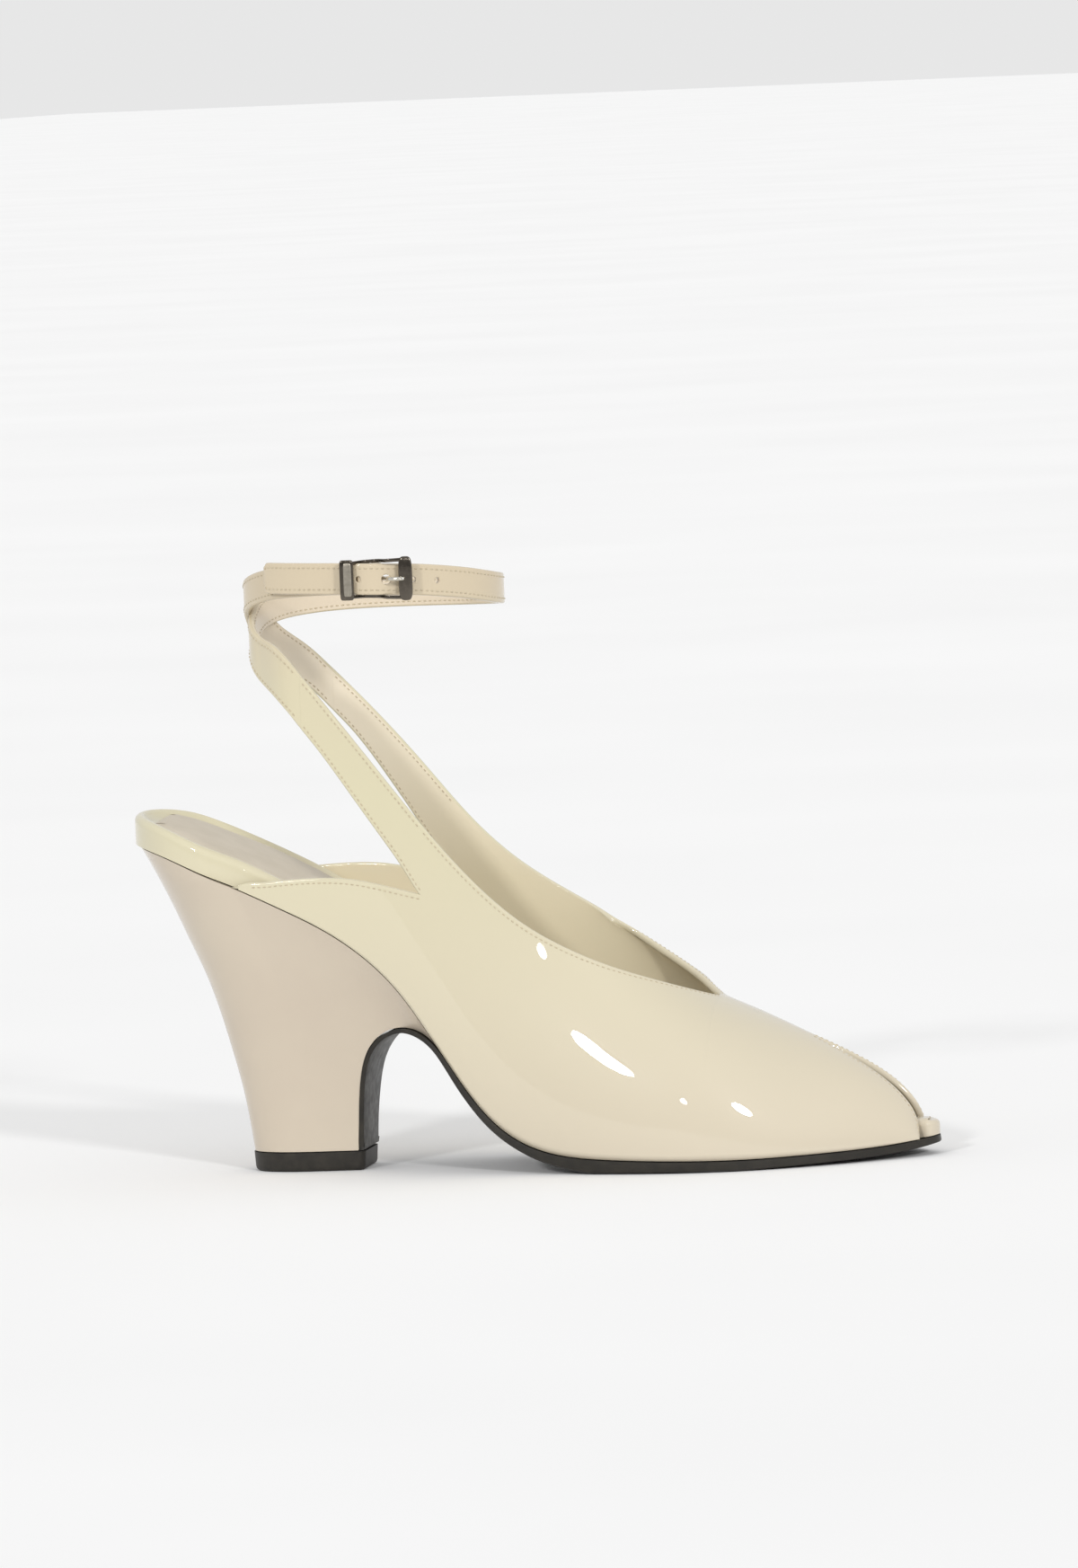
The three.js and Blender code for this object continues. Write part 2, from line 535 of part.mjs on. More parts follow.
// Outsole. Its edge stands a little outside the upper; under the ball it is cut flat at the floor.
const SOLE_WELT = 0.3;
function makeOutsole() {
  const shares = [];
  const BACK = 26;
  const FRONT = 46;
  for (let i = 0; i < BACK; i++) shares.push((ARCH_LONG * i) / BACK);
  for (const share of roundShares(FRONT * 2, -1, 1).slice(FRONT)) {
    shares.push(ARCH_LONG + (PATH_LONG - ARCH_LONG) * share);
  }
  const reach = (side, q) => {
    const [x, z] = [pathX(q), pathZ(q)];
    const low = heelY(side, x, z);
    const flat = side * halfWidth(side, x);
    const share = Math.min(1, Math.max(0, (q - ARCH_LONG * 0.8) / (ARCH_LONG * 0.2)));
    return low + (flat - low) * share + side * SOLE_WELT * Math.min(1, (PATH_LONG - q) / 4);
  };
  const edge = (side) => shares.map((q) => [q, q < PATH_LONG - 1e-6 ? reach(side, q) : 0]);
  const levels = [
    { inset: pathBevel, deep: 1, least: 0 },
    { inset: (q) => pathBevel(q) * 0.15, deep: 0.8, least: 0.8 },
    { inset: () => 0, deep: 0, least: 2 },
  ];
  return slab(edge(-1), edge(1), levels, (q, y, level, from) => {
    const at = Math.min(Math.max(q, 0), PATH_LONG);
    const over = q - at;
    const [x, z] = pathPoint(at, -pathThick(from) * level.deep);
    return [x + over, y, Math.max(z, at < ARCH_LONG ? TOP_PIECE + GAP : level.least)];
  });
}

// Top piece: the heel's foot carried down to the floor
function makeTopPiece() {
  const z = TOP_PIECE;
  const proud = 0.2;
  const back = heelBack(z / HEEL_HEIGHT) - proud;
  const front = ARCH[0].forward * LENGTH + 1.4;
  const corner = 2.2;
  const edge = (side) => {
    return roundShares(36).map((share) => {
      const x = back + (front - back) * share;
      const inner = Math.max(0, x - (front - corner)) / corner;
      const half = Math.abs(heelY(side, Math.max(x, back + proud), z)) + 0.25;
      const behind = share === 0 ? 0 : half;
      return [x, side * (behind - corner * (1 - Math.sqrt(Math.max(0, 1 - inner * inner))))];
    });
  };
  const levels = [
    { inset: () => 1.5, up: 0 },
    { inset: () => 0.6, up: 0.35 },
    { inset: () => 0.25, up: 1.2 },
    { inset: () => 0, up: TOP_PIECE },
  ];
  return slab(edge(-1), edge(1), levels, (x, y, level) => [x, y, level.up]);
}

// Insole and sock lining
const boardOf = column(PLAN, "along", "board");
const tuckOf = column(PLAN, "along", "tuck");
const edgeOf = column(PLAN, "along", "edge");
const DISH = 2.2;
const SOCK_INSET = 6.9;
const SOCK_BACK = 0.032;
const SOCK_FRONT = 0.955;
const board = (x) => boardOf(shareOf(x));
const dish = (x) => DISH * Math.min(1, Math.max(0, (0.9 - shareOf(x)) / 0.3));
const tilt = (x, y) => (y / (0.33 * BALL_WIDTH)) * Math.min(1, Math.max(0, (0.4 - shareOf(x)) / 0.2));

function planEdges(count, from, to, deep) {
  return [-1, 1].map((side) =>
    roundShares(count).map((share) => {
      const along = from + (to - from) * share;
      const half = halfWidth(side, placeOf(along));
      const isEnd = share === 0 || share === 1;
      return [placeOf(along), isEnd ? 0 : side * Math.max(0.4, half - deep(along))];
    }),
  );
}
function makeInsole() {
  const [lateral, medial] = planEdges(64, 0, 1, (along) => Math.max(0, tuckOf(along)));
  const round = (x) => edgeOf(shareOf(x));
  const levels = [
    { inset: () => 0, up: () => 0 },
    { inset: () => 0, up: (x) => board(x) * 0.3 },
    { inset: (x) => round(x) * 0.05, up: (x) => board(x) - round(x) * 0.8 },
    { inset: (x) => round(x) * 0.3, up: (x) => board(x) - round(x) * 0.26 },
    { inset: (x) => round(x) * 0.9, up: (x) => board(x) },
    { inset: (x) => round(x) * 1.6, up: (x) => board(x) - dish(x) },
  ];
  return slab(lateral, medial, levels, (x, y, level, from) => {
    const at = Math.min(Math.max(x, SEAT_BACK), SEAT_BACK + LENGTH);
    const up = level.up(from);
    return [x, y, feather(at) + up + (up > 1 ? tilt(x, y) : 0)];
  });
}
function makeSock() {
  const inset = (along) => SOCK_INSET + 6 * Math.max(0, along - 0.8);
  const [lateral, medial] = planEdges(56, SOCK_BACK, SOCK_FRONT, inset);
  const levels = [
    { inset: () => 0.3, up: 0.3 },
    { inset: () => 0, up: 0.7 },
    { inset: () => 0.5, up: 1.3 },
    { inset: () => 3, up: 1.9 },
  ];
  return slab(lateral, medial, levels, (x, y, level) => {
    return [x, y, feather(x) + board(x) - dish(x) + tilt(x, y) + level.up];
  });
}

// Upper
const bodyAt = {};
for (const name of ["along", "outer", "inner", "ridge", "crown"]) bodyAt[name] = rowsOf(BODY, name);
for (const name of ["bulge", "rise", "drop"]) bodyAt[name] = rowsOf(CURVE, name);
for (const name of ["outerHalf", "innerHalf"]) {
  const open = BODY.slice(0, THROAT + 1);
  const slit = BODY.slice(SLIT);
  const back = spline(
    open.map((row, i) => i),
    open.map((row) => row[name] ** 2),
  );
  const front = rowsOf(slit, name);
  bodyAt[name] = (u) => {
    if (u < THROAT) return Math.sqrt(Math.max(0, back(u)));
    return u > SLIT ? Math.max(0, front(u - SLIT)) : 0;
  };
}
const tailTop = { outer: column(TAIL, "along", "outer"), inner: column(TAIL, "along", "inner") };
const slingRear = { outer: column(SLING, "along", "outer"), inner: column(SLING, "along", "inner") };
const sideName = (side) => (side < 0 ? "outer" : "inner");
const NOTCH = 0.3833;
const SLING_END = 0.2375;
const TAIL_END = 0.1475;

// Row number of the body table at a given share of the length.
function rowAt(along) {
  let [low, high] = [0, BODY.length - 1];
  for (let i = 0; i < 60; i++) {
    const middle = (low + high) / 2;
    if (bodyAt.along(middle) < along) low = middle;
    else high = middle;
  }
  return (low + high) / 2;
}

// A section of the upper: from the lower edge to the top edge through two handles.
function section(side, u) {
  const x = placeOf(bodyAt.along(u));
  const name = sideName(side);
  const foot = halfWidth(side, x);
  const low = feather(x);
  const ridge = (bodyAt.outer(u) + bodyAt.inner(u)) / 2;
  const isRidge = u > THROAT && u < SLIT;
  const high = Math.max(low, (isRidge ? ridge : bodyAt[name](u)) * HEEL_HEIGHT);
  const offset = u > THROAT ? bodyAt.ridge(u) : 0;
  const half = bodyAt[name + "Half"](u) * BALL_WIDTH + side * offset;
  const tall = high - low;
  const crown = side > 0 ? Math.max(0, bodyAt.crown(u)) : 0;
  const full = Math.min(1, crown / 2);
  const first = foot + bodyAt.bulge(u);
  const rise = bodyAt.rise(u) + 0.15 * full;
  const drop = bodyAt.drop(u) * (1 - full) - (1.6 * crown) / tall;
  const second = half + 0.5 * (foot - half);
  return (t) => {
    const s = 1 - t;
    const [a, b, c, d] = [s * s * s, 3 * s * s * t, 3 * s * t * t, t * t * t];
    const y = a * foot + b * first + c * second + d * half;
    const w = Math.max(0, (t - 0.4) / 0.6);
    const lift = crown * 6.75 * w * w * (1 - w);
    const z = a * low + b * (low + rise * tall) + c * (high - drop * tall) + d * high + lift;
    return [x, side * y, z];
  };
}
function shareAtHeight(curve, z) {
  let [low, high] = [0, 1];
  for (let i = 0; i < 50; i++) {
    const middle = (low + high) / 2;
    if (curve(middle)[2] < z) low = middle;
    else high = middle;
  }
  return (low + high) / 2;
}

// Gives a sheet a thickness inward and closes its edges.
function thicken(points, triangles, wall) {
  const flat = [];
  for (const corner of triangles.flat()) flat.push(...points[corner]);
  const loose = new THREE.BufferGeometry();
  loose.setAttribute("position", new THREE.Float32BufferAttribute(flat, 3));
  const sheet = mergeVertices(loose, 1e-3);
  const kept = [];
  const old = sheet.index.array;
  for (let i = 0; i < old.length; i += 3) {
    if (old[i] !== old[i + 1] && old[i + 1] !== old[i + 2] && old[i + 2] !== old[i]) {
      kept.push([old[i], old[i + 1], old[i + 2]]);
    }
  }
  sheet.setIndex(kept.flat());
  sheet.computeVertexNormals();
  const at = sheet.attributes.position;
  const normal = sheet.attributes.normal;
  const count = at.count;
  const all = [];
  for (let i = 0; i < count; i++) all.push([at.getX(i), at.getY(i), at.getZ(i)]);
  for (let i = 0; i < count; i++) {
    const x = at.getX(i) - normal.getX(i) * wall;
    const y = at.getY(i) - normal.getY(i) * wall;
    const z = at.getZ(i) - normal.getZ(i) * wall;
    all.push([x, y, Math.max(z, feather(x))]);
  }
  const seen = new Map();
  for (const [a, b, c] of kept) {
    for (const [p, q] of [
      [a, b],
      [b, c],
      [c, a],
    ]) {
      seen.set(p + "," + q, [p, q]);
    }
  }
  const faces = [...kept];
  for (const [a, b, c] of kept) faces.push([a + count, c + count, b + count]);
  for (const [p, q] of seen.values()) {
    if (!seen.has(q + "," + p)) faces.push([q, p, p + count], [q, p + count, q + count]);
  }
  return closed(all, faces);
}
function makeUpper() {
  const LOWER = 8;
  const UPPER_ROWS = 4;
  const notch = rowAt(NOTCH);
  const end = BODY.length - 1;
  const points = [];
  const triangles = [];
  const addGrid = (columns, side) => {
    const start = points.length;
    const rows = columns[0].length;
    for (const line of columns) points.push(...line);
    for (let i = 0; i < columns.length - 1; i++) {
      for (let j = 0; j < rows - 1; j++) {
        const a = start + i * rows + j;
        const b = a + rows;
        const quad = [
          [a, b, b + 1],
          [a, b + 1, a + 1],
        ];
        for (const [p, q, r] of quad) triangles.push(side < 0 ? [p, q, r] : [p, r, q]);
      }
    }
  };
  for (const side of [-1, 1]) {
    const name = sideName(side);
    const atNotch = section(side, notch);
    const notchShare = shareAtHeight(atNotch, tailTop[name](NOTCH) * HEEL_HEIGHT);
    const split = (list, from, to, count) => {
      for (let j = 0; j <= count; j++) list.push(from + ((to - from) * j) / count);
    };
    const main = [];
    const mainRows = [...roundShares(16, notch, 8), 8.7, 9.4, 10, 10.6, 11.1, 11.5, 11.8];
    for (let u = THROAT; u < end; u += 0.5) mainRows.push(u);
    mainRows.push(end);
    for (const u of mainRows) {
      const curve = section(side, u);
      const blend = Math.min(1, (u - notch) / 6);
      const middle = notchShare + (LOWER / (LOWER + UPPER_ROWS) - notchShare) * blend;
      const shares = [];
      split(shares, 0, middle, LOWER);
      shares.pop();
      split(shares, middle, 1, UPPER_ROWS);
      main.push(shares.map(curve));
    }
    addGrid(main, side);
    const tail = [];
    for (const share of roundShares(15)) {
      const u = rowAt(TAIL_END + (NOTCH - TAIL_END) * share);
      const curve = section(side, Math.min(u, notch));
      let top = shareAtHeight(curve, tailTop[name](bodyAt.along(u)) * HEEL_HEIGHT);
      if (share === 0) top = 0;
      if (share === 1) top = notchShare;
      const shares = [];
      split(shares, 0, top, LOWER);
      tail.push(shares.map(curve));
    }
    addGrid(tail, side);
    const sling = [];
    for (let i = 0; i <= 10; i++) {
      const share = 1 - (1 - i / 10) ** 1.2;
      const u = i === 10 ? notch : rowAt(SLING_END + (NOTCH - SLING_END) * share);
      const curve = section(side, u);
      const low = shareAtHeight(curve, slingRear[name](bodyAt.along(u)) * HEEL_HEIGHT);
      const shares = [];
      split(shares, i === 10 ? notchShare : low, 1, UPPER_ROWS);
      sling.push(shares.map(curve));
    }
    addGrid(sling, side);
  }
  return thicken(points, triangles, WALL);
}

// Straps round the ankle
const anklePoint = (turn, out) => {
  const angle = (turn * Math.PI) / 180;
  const [cos, sin] = [Math.cos(angle), Math.sin(angle)];
  const [a, b] = [ANKLE_LENGTH / 2, ANKLE_WIDTH / 2];
  const normal = [cos / a, sin / b];
  const long = Math.hypot(...normal);
  return [ANKLE_X + a * cos + (normal[0] / long) * out, b * sin + (normal[1] / long) * out];
};

// A strap that stands on edge along a path seen from above, with a lower and an upper edge at each station.
function ribbon(stations) {
  const points = [];
  const triangles = [];
  stations.forEach((station, i) => {
    const before = stations[Math.max(0, i - 1)];
    const after = stations[Math.min(stations.length - 1, i + 1)];
    const [dx, dy] = [after.x - before.x, after.y - before.y];
    const long = Math.hypot(dx, dy);
    const [nx, ny] = [(-dy / long) * station.thick * 0.5, (dx / long) * station.thick * 0.5];
    const soft = (station.high - station.low) * 0.04;
    points.push([station.x + nx, station.y + ny, station.low + soft]);
    points.push([station.x - nx, station.y - ny, station.low + soft]);
    points.push([station.x - nx, station.y - ny, station.high - soft]);
    points.push([station.x + nx, station.y + ny, station.high - soft]);
  });
  for (let i = 0; i < stations.length - 1; i++) {
    for (let k = 0; k < 4; k++) {
      const [a, b] = [i * 4 + k, i * 4 + ((k + 1) % 4)];
      triangles.push([a, b, b + 4], [a, b + 4, a + 4]);
    }
  }
  const end = (stations.length - 1) * 4;
  triangles.push([0, 2, 1], [0, 3, 2]);
  triangles.push([end, end + 1, end + 2], [end, end + 2, end + 3]);
  return closed(points, triangles);
}
function strapStations(table, count) {
  const at = {};
  for (const name of ["turn", "mid", "tall", "out"]) at[name] = rowsOf(table, name);
  return Array.from({ length: count + 1 }, (_, i) => {
    const u = ((table.length - 1) * i) / count;
    const [x, y] = anklePoint(at.turn(u), at.out(u));
    const half = (at.tall(u) * STRAP_WIDTH) / 2;
    const mid = at.mid(u) * HEEL_HEIGHT;
    return { x, y, low: mid - half, high: mid + half, thick: STRAP_THICK };
  });
}

// The buckle's own axes: x along the strap, y toward the foot, z up.
const hingeFoot = anklePoint(BUCKLE_TURN, 0);
const ahead = anklePoint(BUCKLE_TURN + 1, 0);
const alongLength = Math.hypot(ahead[0] - hingeFoot[0], ahead[1] - hingeFoot[1]);
const T = [(ahead[0] - hingeFoot[0]) / alongLength, (ahead[1] - hingeFoot[1]) / alongLength];
const N = [T[1], -T[0]];
const buckleMatrix = new THREE.Matrix4().set(
  T[0], -N[0], 0, hingeFoot[0],
  T[1], -N[1], 0, hingeFoot[1],
  0, 0, 1, BUCKLE_UP,
  0, 0, 0, 1,
);
const inBuckle = (t, n) => [hingeFoot[0] + T[0] * t + N[0] * n, hingeFoot[1] + T[1] * t + N[1] * n];


// Solids of a box and of a round rod
const boxSolid = (wide, deep, tall, x, y, z) => {
  const box = new THREE.BoxGeometry(wide, deep, tall).translate(x, y, z).toNonIndexed();
  return toSolid(new THREE.BufferGeometry().setAttribute("position", box.getAttribute("position")));
};
const rodSolid = (radius, long, sides = 24) => {
  const rod = new THREE.CylinderGeometry(radius, radius, long, sides).toNonIndexed();
  return new THREE.BufferGeometry().setAttribute("position", rod.getAttribute("position"));
};

// A bar of round section along points.
function bent(list, radius, sides = 10) {
  const points = [];
  const triangles = [];
  list.forEach((p, i) => {
    const before = list[Math.max(0, i - 1)];
    const after = list[Math.min(list.length - 1, i + 1)];
    const along = new THREE.Vector3().subVectors(after, before).normalize();
    const across = new THREE.Vector3(0, 0, 1);
    const other = new THREE.Vector3().crossVectors(along, across).normalize();
    for (let k = 0; k < sides; k++) {
      const turn = (2 * Math.PI * k) / sides;
      const at = p.clone().addScaledVector(across, Math.cos(turn) * radius);
      points.push(at.addScaledVector(other, Math.sin(turn) * radius).toArray());
    }
  });
  const last = (list.length - 1) * sides;
  for (let i = 0; i < list.length - 1; i++) {
    for (let k = 0; k < sides; k++) {
      const [a, b] = [i * sides + k, i * sides + ((k + 1) % sides)];
      triangles.push([a, b, b + sides], [a, b + sides, a + sides]);
    }
  }
  for (let k = 1; k < sides - 1; k++) {
    triangles.push([0, k + 1, k], [last, last + k, last + k + 1]);
  }
  return closed(points, triangles);
}

function makeFrame() {
  const z = FRAME_TALL / 2;
  const long = FRAME_FRONT - FRAME_BACK;
  const middle = (FRAME_FRONT + FRAME_BACK) / 2;
  let frame = boxSolid(BAR_WIDE, BAR_THICK, FRAME_TALL, FRAME_BACK + BAR_WIDE / 2, -BAR_OUT, 0);
  frame = frame.add(boxSolid(BAR_WIDE, BAR_THICK, FRAME_TALL, FRAME_FRONT - BAR_WIDE / 2, -BAR_OUT, 0));
  for (const side of [-1, 1]) {
    const points = [];
    const triangles = [];
    const STEPS = 20;
    for (let i = 0; i <= STEPS; i++) {
      const t = middle + (long / 2 - BAR_WIDE * 0.4) * (-1 + (2 * i) / STEPS);
      const dip = Math.exp(-((t / 3.6) ** 4)) * (BAR_OUT - HINGE_OUT);
      for (const [n, h] of [
        [-1, -1],
        [1, -1],
        [1, 1],
        [-1, 1],
      ]) {
        points.push([t, dip - BAR_OUT - (n * RAIL_DEEP) / 2, side * (z - RAIL / 2) + (h * RAIL) / 2]);
      }
    }
    for (let i = 0; i < STEPS; i++) {
      for (let k = 0; k < 4; k++) {
        const [a, b] = [i * 4 + k, i * 4 + ((k + 1) % 4)];
        triangles.push([a, b, b + 4], [a, b + 4, a + 4]);
      }
    }
    const end = STEPS * 4;
    triangles.push([0, 2, 1], [0, 3, 2]);
    triangles.push([end, end + 1, end + 2], [end, end + 2, end + 3]);
    frame = frame.add(toSolid(closed(points, triangles)));
  }
  return toGeometry(frame).applyMatrix4(buckleMatrix);
}
function makeBar() {
  const long = FRAME_TALL - 2 * RAIL - 2 * GAP;
  const bar = rodSolid(HINGE_RADIUS, long).rotateX(Math.PI / 2).translate(0, -HINGE_OUT, 0);
  return mergeVertices(bar, 1e-4).applyMatrix4(buckleMatrix);
}
function makeProng() {
  const [eye, eyeTall, thick] = [1.35, 1.8, 0.55];
  const onHinge = (rod) => toSolid(rod.rotateX(Math.PI / 2).translate(0, -HINGE_OUT, 0));
  const outer = onHinge(rodSolid(eye, eyeTall));
  const inner = onHinge(rodSolid(HINGE_RADIUS + 0.2, 2 * eyeTall));
  const list = [
    [1.05, 0.9],
    [2.6, 1.05],
    [3.6, 1.6],
    [4.3, 3],
    [4.9, 5],
    [5.6, 6.4],
    [6.8, 7],
    [9.8, 7.1],
  ].map(([t, n]) => new THREE.Vector3(t, -n, 0));
  const shaft = toSolid(bent(list, thick));
  return toGeometry(outer.subtract(inner).add(shaft)).applyMatrix4(buckleMatrix);
}
function makeLongStrap() {
  let holed = toSolid(ribbon(strapStations(LONG_STRAP, 110)));
  const middle = rowsOf(LONG_STRAP, "mid", HEEL_HEIGHT);
  const rowOf = rowsOf(LONG_STRAP, "turn");
  for (let i = -1; i <= 2; i++) {
    const turn = BUCKLE_TURN + (PRONG_AT + i * HOLE_PITCH) * DEGREES_PER_MM;
    let row = LONG_STRAP.length - 1;
    while (rowOf(row) < turn) row -= 0.01;
    const radius = i === 0 ? HOLE_RADIUS : SPARE_RADIUS;
    const rod = rodSolid(radius, 12, 20).rotateZ(((turn + 90) * Math.PI) / 180);
    const [x, y] = anklePoint(turn, 0);
    holed = holed.subtract(toSolid(rod.translate(x, y, middle(row))));
  }
  return toGeometry(holed);
}
function makeShortStrap() {
  const stations = strapStations(SHORT_STRAP, 64);
  const thick = STRAP_THICK / 2;
  const radius = HINGE_RADIUS + 0.7;
  const thin = { low: BUCKLE_UP - STRAP_WIDTH / 2, high: BUCKLE_UP + STRAP_WIDTH / 2, thick };
  for (let i = 0; i <= 10; i++) {
    const angle = -Math.PI / 2 + (Math.PI * i) / 10;
    const [x, y] = inBuckle(Math.cos(angle) * radius, HINGE_OUT + Math.sin(angle) * radius);
    stations.push({ x, y, ...thin });
  }
  const [x, y] = inBuckle(-3, HINGE_OUT + radius);
  stations.push({ x, y, ...thin });
  const slot = boxSolid(6.4, 6, 2.6, 0.6, -HINGE_OUT, 0).transform(buckleMatrix.elements);
  return toGeometry(toSolid(ribbon(stations)).subtract(slot));
}

// Assembly
const pump = new THREE.Group();
pump.name = "patent_leather_pump";
const cream = new THREE.MeshStandardMaterial({ color: 0xe6dec3, roughness: 0.15 });
const creamHeel = new THREE.MeshStandardMaterial({ color: 0xd8cbb8, roughness: 0.25 });
const lining = new THREE.MeshStandardMaterial({ color: 0xd9cba9, roughness: 0.55 });
const black = new THREE.MeshStandardMaterial({ color: 0x35322c, roughness: 0.6 });
const metal = new THREE.MeshStandardMaterial({ color: 0x8d8a84, roughness: 0.2, metalness: 1 });

function add(name, geometry, material) {
  const mesh = new THREE.Mesh(geometry, material);
  mesh.name = name;
  pump.add(mesh);
}
add("top_piece", makeTopPiece(), black);
add("heel", makeHeel(), creamHeel);
add("outsole", makeOutsole(), black);
add("insole", makeInsole(), creamHeel);
add("sock_lining", makeSock(), lining);
add("upper", makeUpper(), cream);
add("ankle_strap", makeLongStrap(), cream);
add("buckle_strap", makeShortStrap(), cream);
add("buckle_frame", makeFrame(), metal);
add("buckle_bar", makeBar(), metal);
add("buckle_prong", makeProng(), metal);

export default pump;
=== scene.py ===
"""Looks of a right-foot slingback pump: cream patent leather, slit toe, crossed ankle strap, covered heel.

Lengths are millimetres until a mesh is made. X runs to the toe, Y to the inner side of the foot, Z up.
"""
import math

import bpy
import numpy as np
from mathutils import Matrix, Vector


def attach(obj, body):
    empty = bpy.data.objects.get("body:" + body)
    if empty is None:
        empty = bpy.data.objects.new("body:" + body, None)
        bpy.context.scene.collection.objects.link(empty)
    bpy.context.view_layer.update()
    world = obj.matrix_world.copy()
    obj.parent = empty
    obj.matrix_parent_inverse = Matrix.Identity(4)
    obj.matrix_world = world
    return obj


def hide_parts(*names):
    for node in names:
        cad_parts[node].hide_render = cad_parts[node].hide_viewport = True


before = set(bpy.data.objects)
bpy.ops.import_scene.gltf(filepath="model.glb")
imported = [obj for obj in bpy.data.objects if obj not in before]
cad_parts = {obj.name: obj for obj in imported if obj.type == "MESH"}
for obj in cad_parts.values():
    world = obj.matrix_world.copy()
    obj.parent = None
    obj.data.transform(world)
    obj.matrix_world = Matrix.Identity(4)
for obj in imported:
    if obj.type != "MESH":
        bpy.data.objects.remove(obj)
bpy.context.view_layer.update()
scene = bpy.context.scene
MM = 0.001

# Driving sizes, as in the part
LENGTH = 221
HEEL_HEIGHT = 90
BALL_WIDTH = 74
ANKLE_LENGTH = 68.4
ANKLE_WIDTH = 53
STRAP_WIDTH = 7.6
WALL = 1.8
TOP_PIECE = 5.3
GAP = 0.3
SEAT_GAP = 0.35
SEAT_BACK = -0.215 * LENGTH
ANKLE_X = 0.105 * LENGTH
SIDES = {-1: "outer", 1: "inner"}


def table(names, rows):
    """A short table as named columns."""
    return dict(zip(names.split(), np.array(rows, float).T))


# Outline from above and the height of the upper's lower edge: shares of LENGTH, BALL_WIDTH and HEEL_HEIGHT.
# board, tuck, edge: thickness, inset and rounding of the insole.
PLAN = table("along outer inner feather board tuck edge", [
    (0, 0, 0, 1.02, 8.6, 0, 2.4),
    (0.05, 0.277, 0.277, 0.99, 8.6, 0, 2.4),
    (0.1, 0.327, 0.327, 0.938, 8.6, 0, 2.4),
    (0.15, 0.341, 0.34, 0.885, 8.6, 2.3, 2.4),
    (0.2, 0.348, 0.34, 0.827, 8.4, 2.6, 2.4),
    (0.25, 0.352, 0.331, 0.764, 8, 2.6, 2.4),
    (0.3, 0.355, 0.315, 0.68, 7.4, 2.6, 2.4),
    (0.35, 0.359, 0.298, 0.554, 6.8, 2.6, 2.4),
    (0.4, 0.366, 0.286, 0.368, 6.2, 2.7, 2.4),
    (0.45, 0.382, 0.28, 0.192, 5.8, 2.7, 2.4),
    (0.5, 0.409, 0.292, 0.096, 5.6, 2.7, 2.4),
    (0.55, 0.443, 0.324, 0.058, 5.6, 2.6, 2.4),
    (0.6, 0.476, 0.37, 0.046, 5.6, 2.6, 2.4),
    (0.65, 0.5, 0.419, 0.041, 5.6, 2.6, 2.4),
    (0.7, 0.508, 0.462, 0.038, 5.6, 2.6, 2.4),
    (0.75, 0.492, 0.482, 0.036, 5.6, 2.6, 2.4),
    (0.8, 0.449, 0.473, 0.036, 5.6, 2.8, 2.6),
    (0.85, 0.381, 0.427, 0.038, 5.6, 3, 3),
    (0.9, 0.295, 0.346, 0.041, 5.7, 3.4, 3),
    (0.95, 0.184, 0.224, 0.047, 5.6, 4.4, 2.6),
    (0.975, 0.121, 0.146, 0.053, 5.2, 5.2, 2.2),
    (0.99, 0.073, 0.088, 0.058, 4.6, 1, 2),
    (1, 0, 0, 0.062, 4.2, 0.3, 1.8),
])

# The heel breast and the arch, from the floor end up and over to where the sole meets the upper.
ARCH = table("forward up thick bevel", [
    (0.061, 0.062, 1.5, 1.8),
    (0.0622, 0.144, 1.5, 1.8),
    (0.0652, 0.23, 1.5, 1.7),
    (0.0708, 0.308, 1.4, 1.5),
    (0.0808, 0.368, 1.3, 1),
    (0.096, 0.412, 1.3, 0.6),
    (0.115, 0.437, 1.3, 0.4),
    (0.1355, 0.443, 1.3, 0.4),
    (0.1535, 0.433, 1.3, 0.4),
    (0.17, 0.408, 1.3, 0.4),
])

# Thickness of the outsole from the shank to the toe.
SOLE = table("along thick", [
    (0.4, 1.4), (0.45, 1.9), (0.5, 2.3), (0.55, 3.3), (0.6, 4.2), (0.65, 4.4), (0.7, 4.2),
    (0.75, 3.2), (0.8, 2.6), (0.85, 2.4), (0.9, 2.3), (0.95, 2.2), (1, 1.9),
])

# The heel at rising heights: how far it reaches back and where it is widest.
HEEL = table("up back wide", [
    (0.058, -0.0805, -0.01),
    (0.256, -0.0925, -0.012),
    (0.395, -0.106, -0.016),
    (0.525, -0.1205, -0.024),
    (0.627, -0.135, -0.034),
    (0.716, -0.1505, -0.046),
    (0.806, -0.166, -0.06),
    (0.888, -0.181, -0.075),
    (0.97, -0.198, -0.09),
    (1.03, -0.212, -0.1),
])

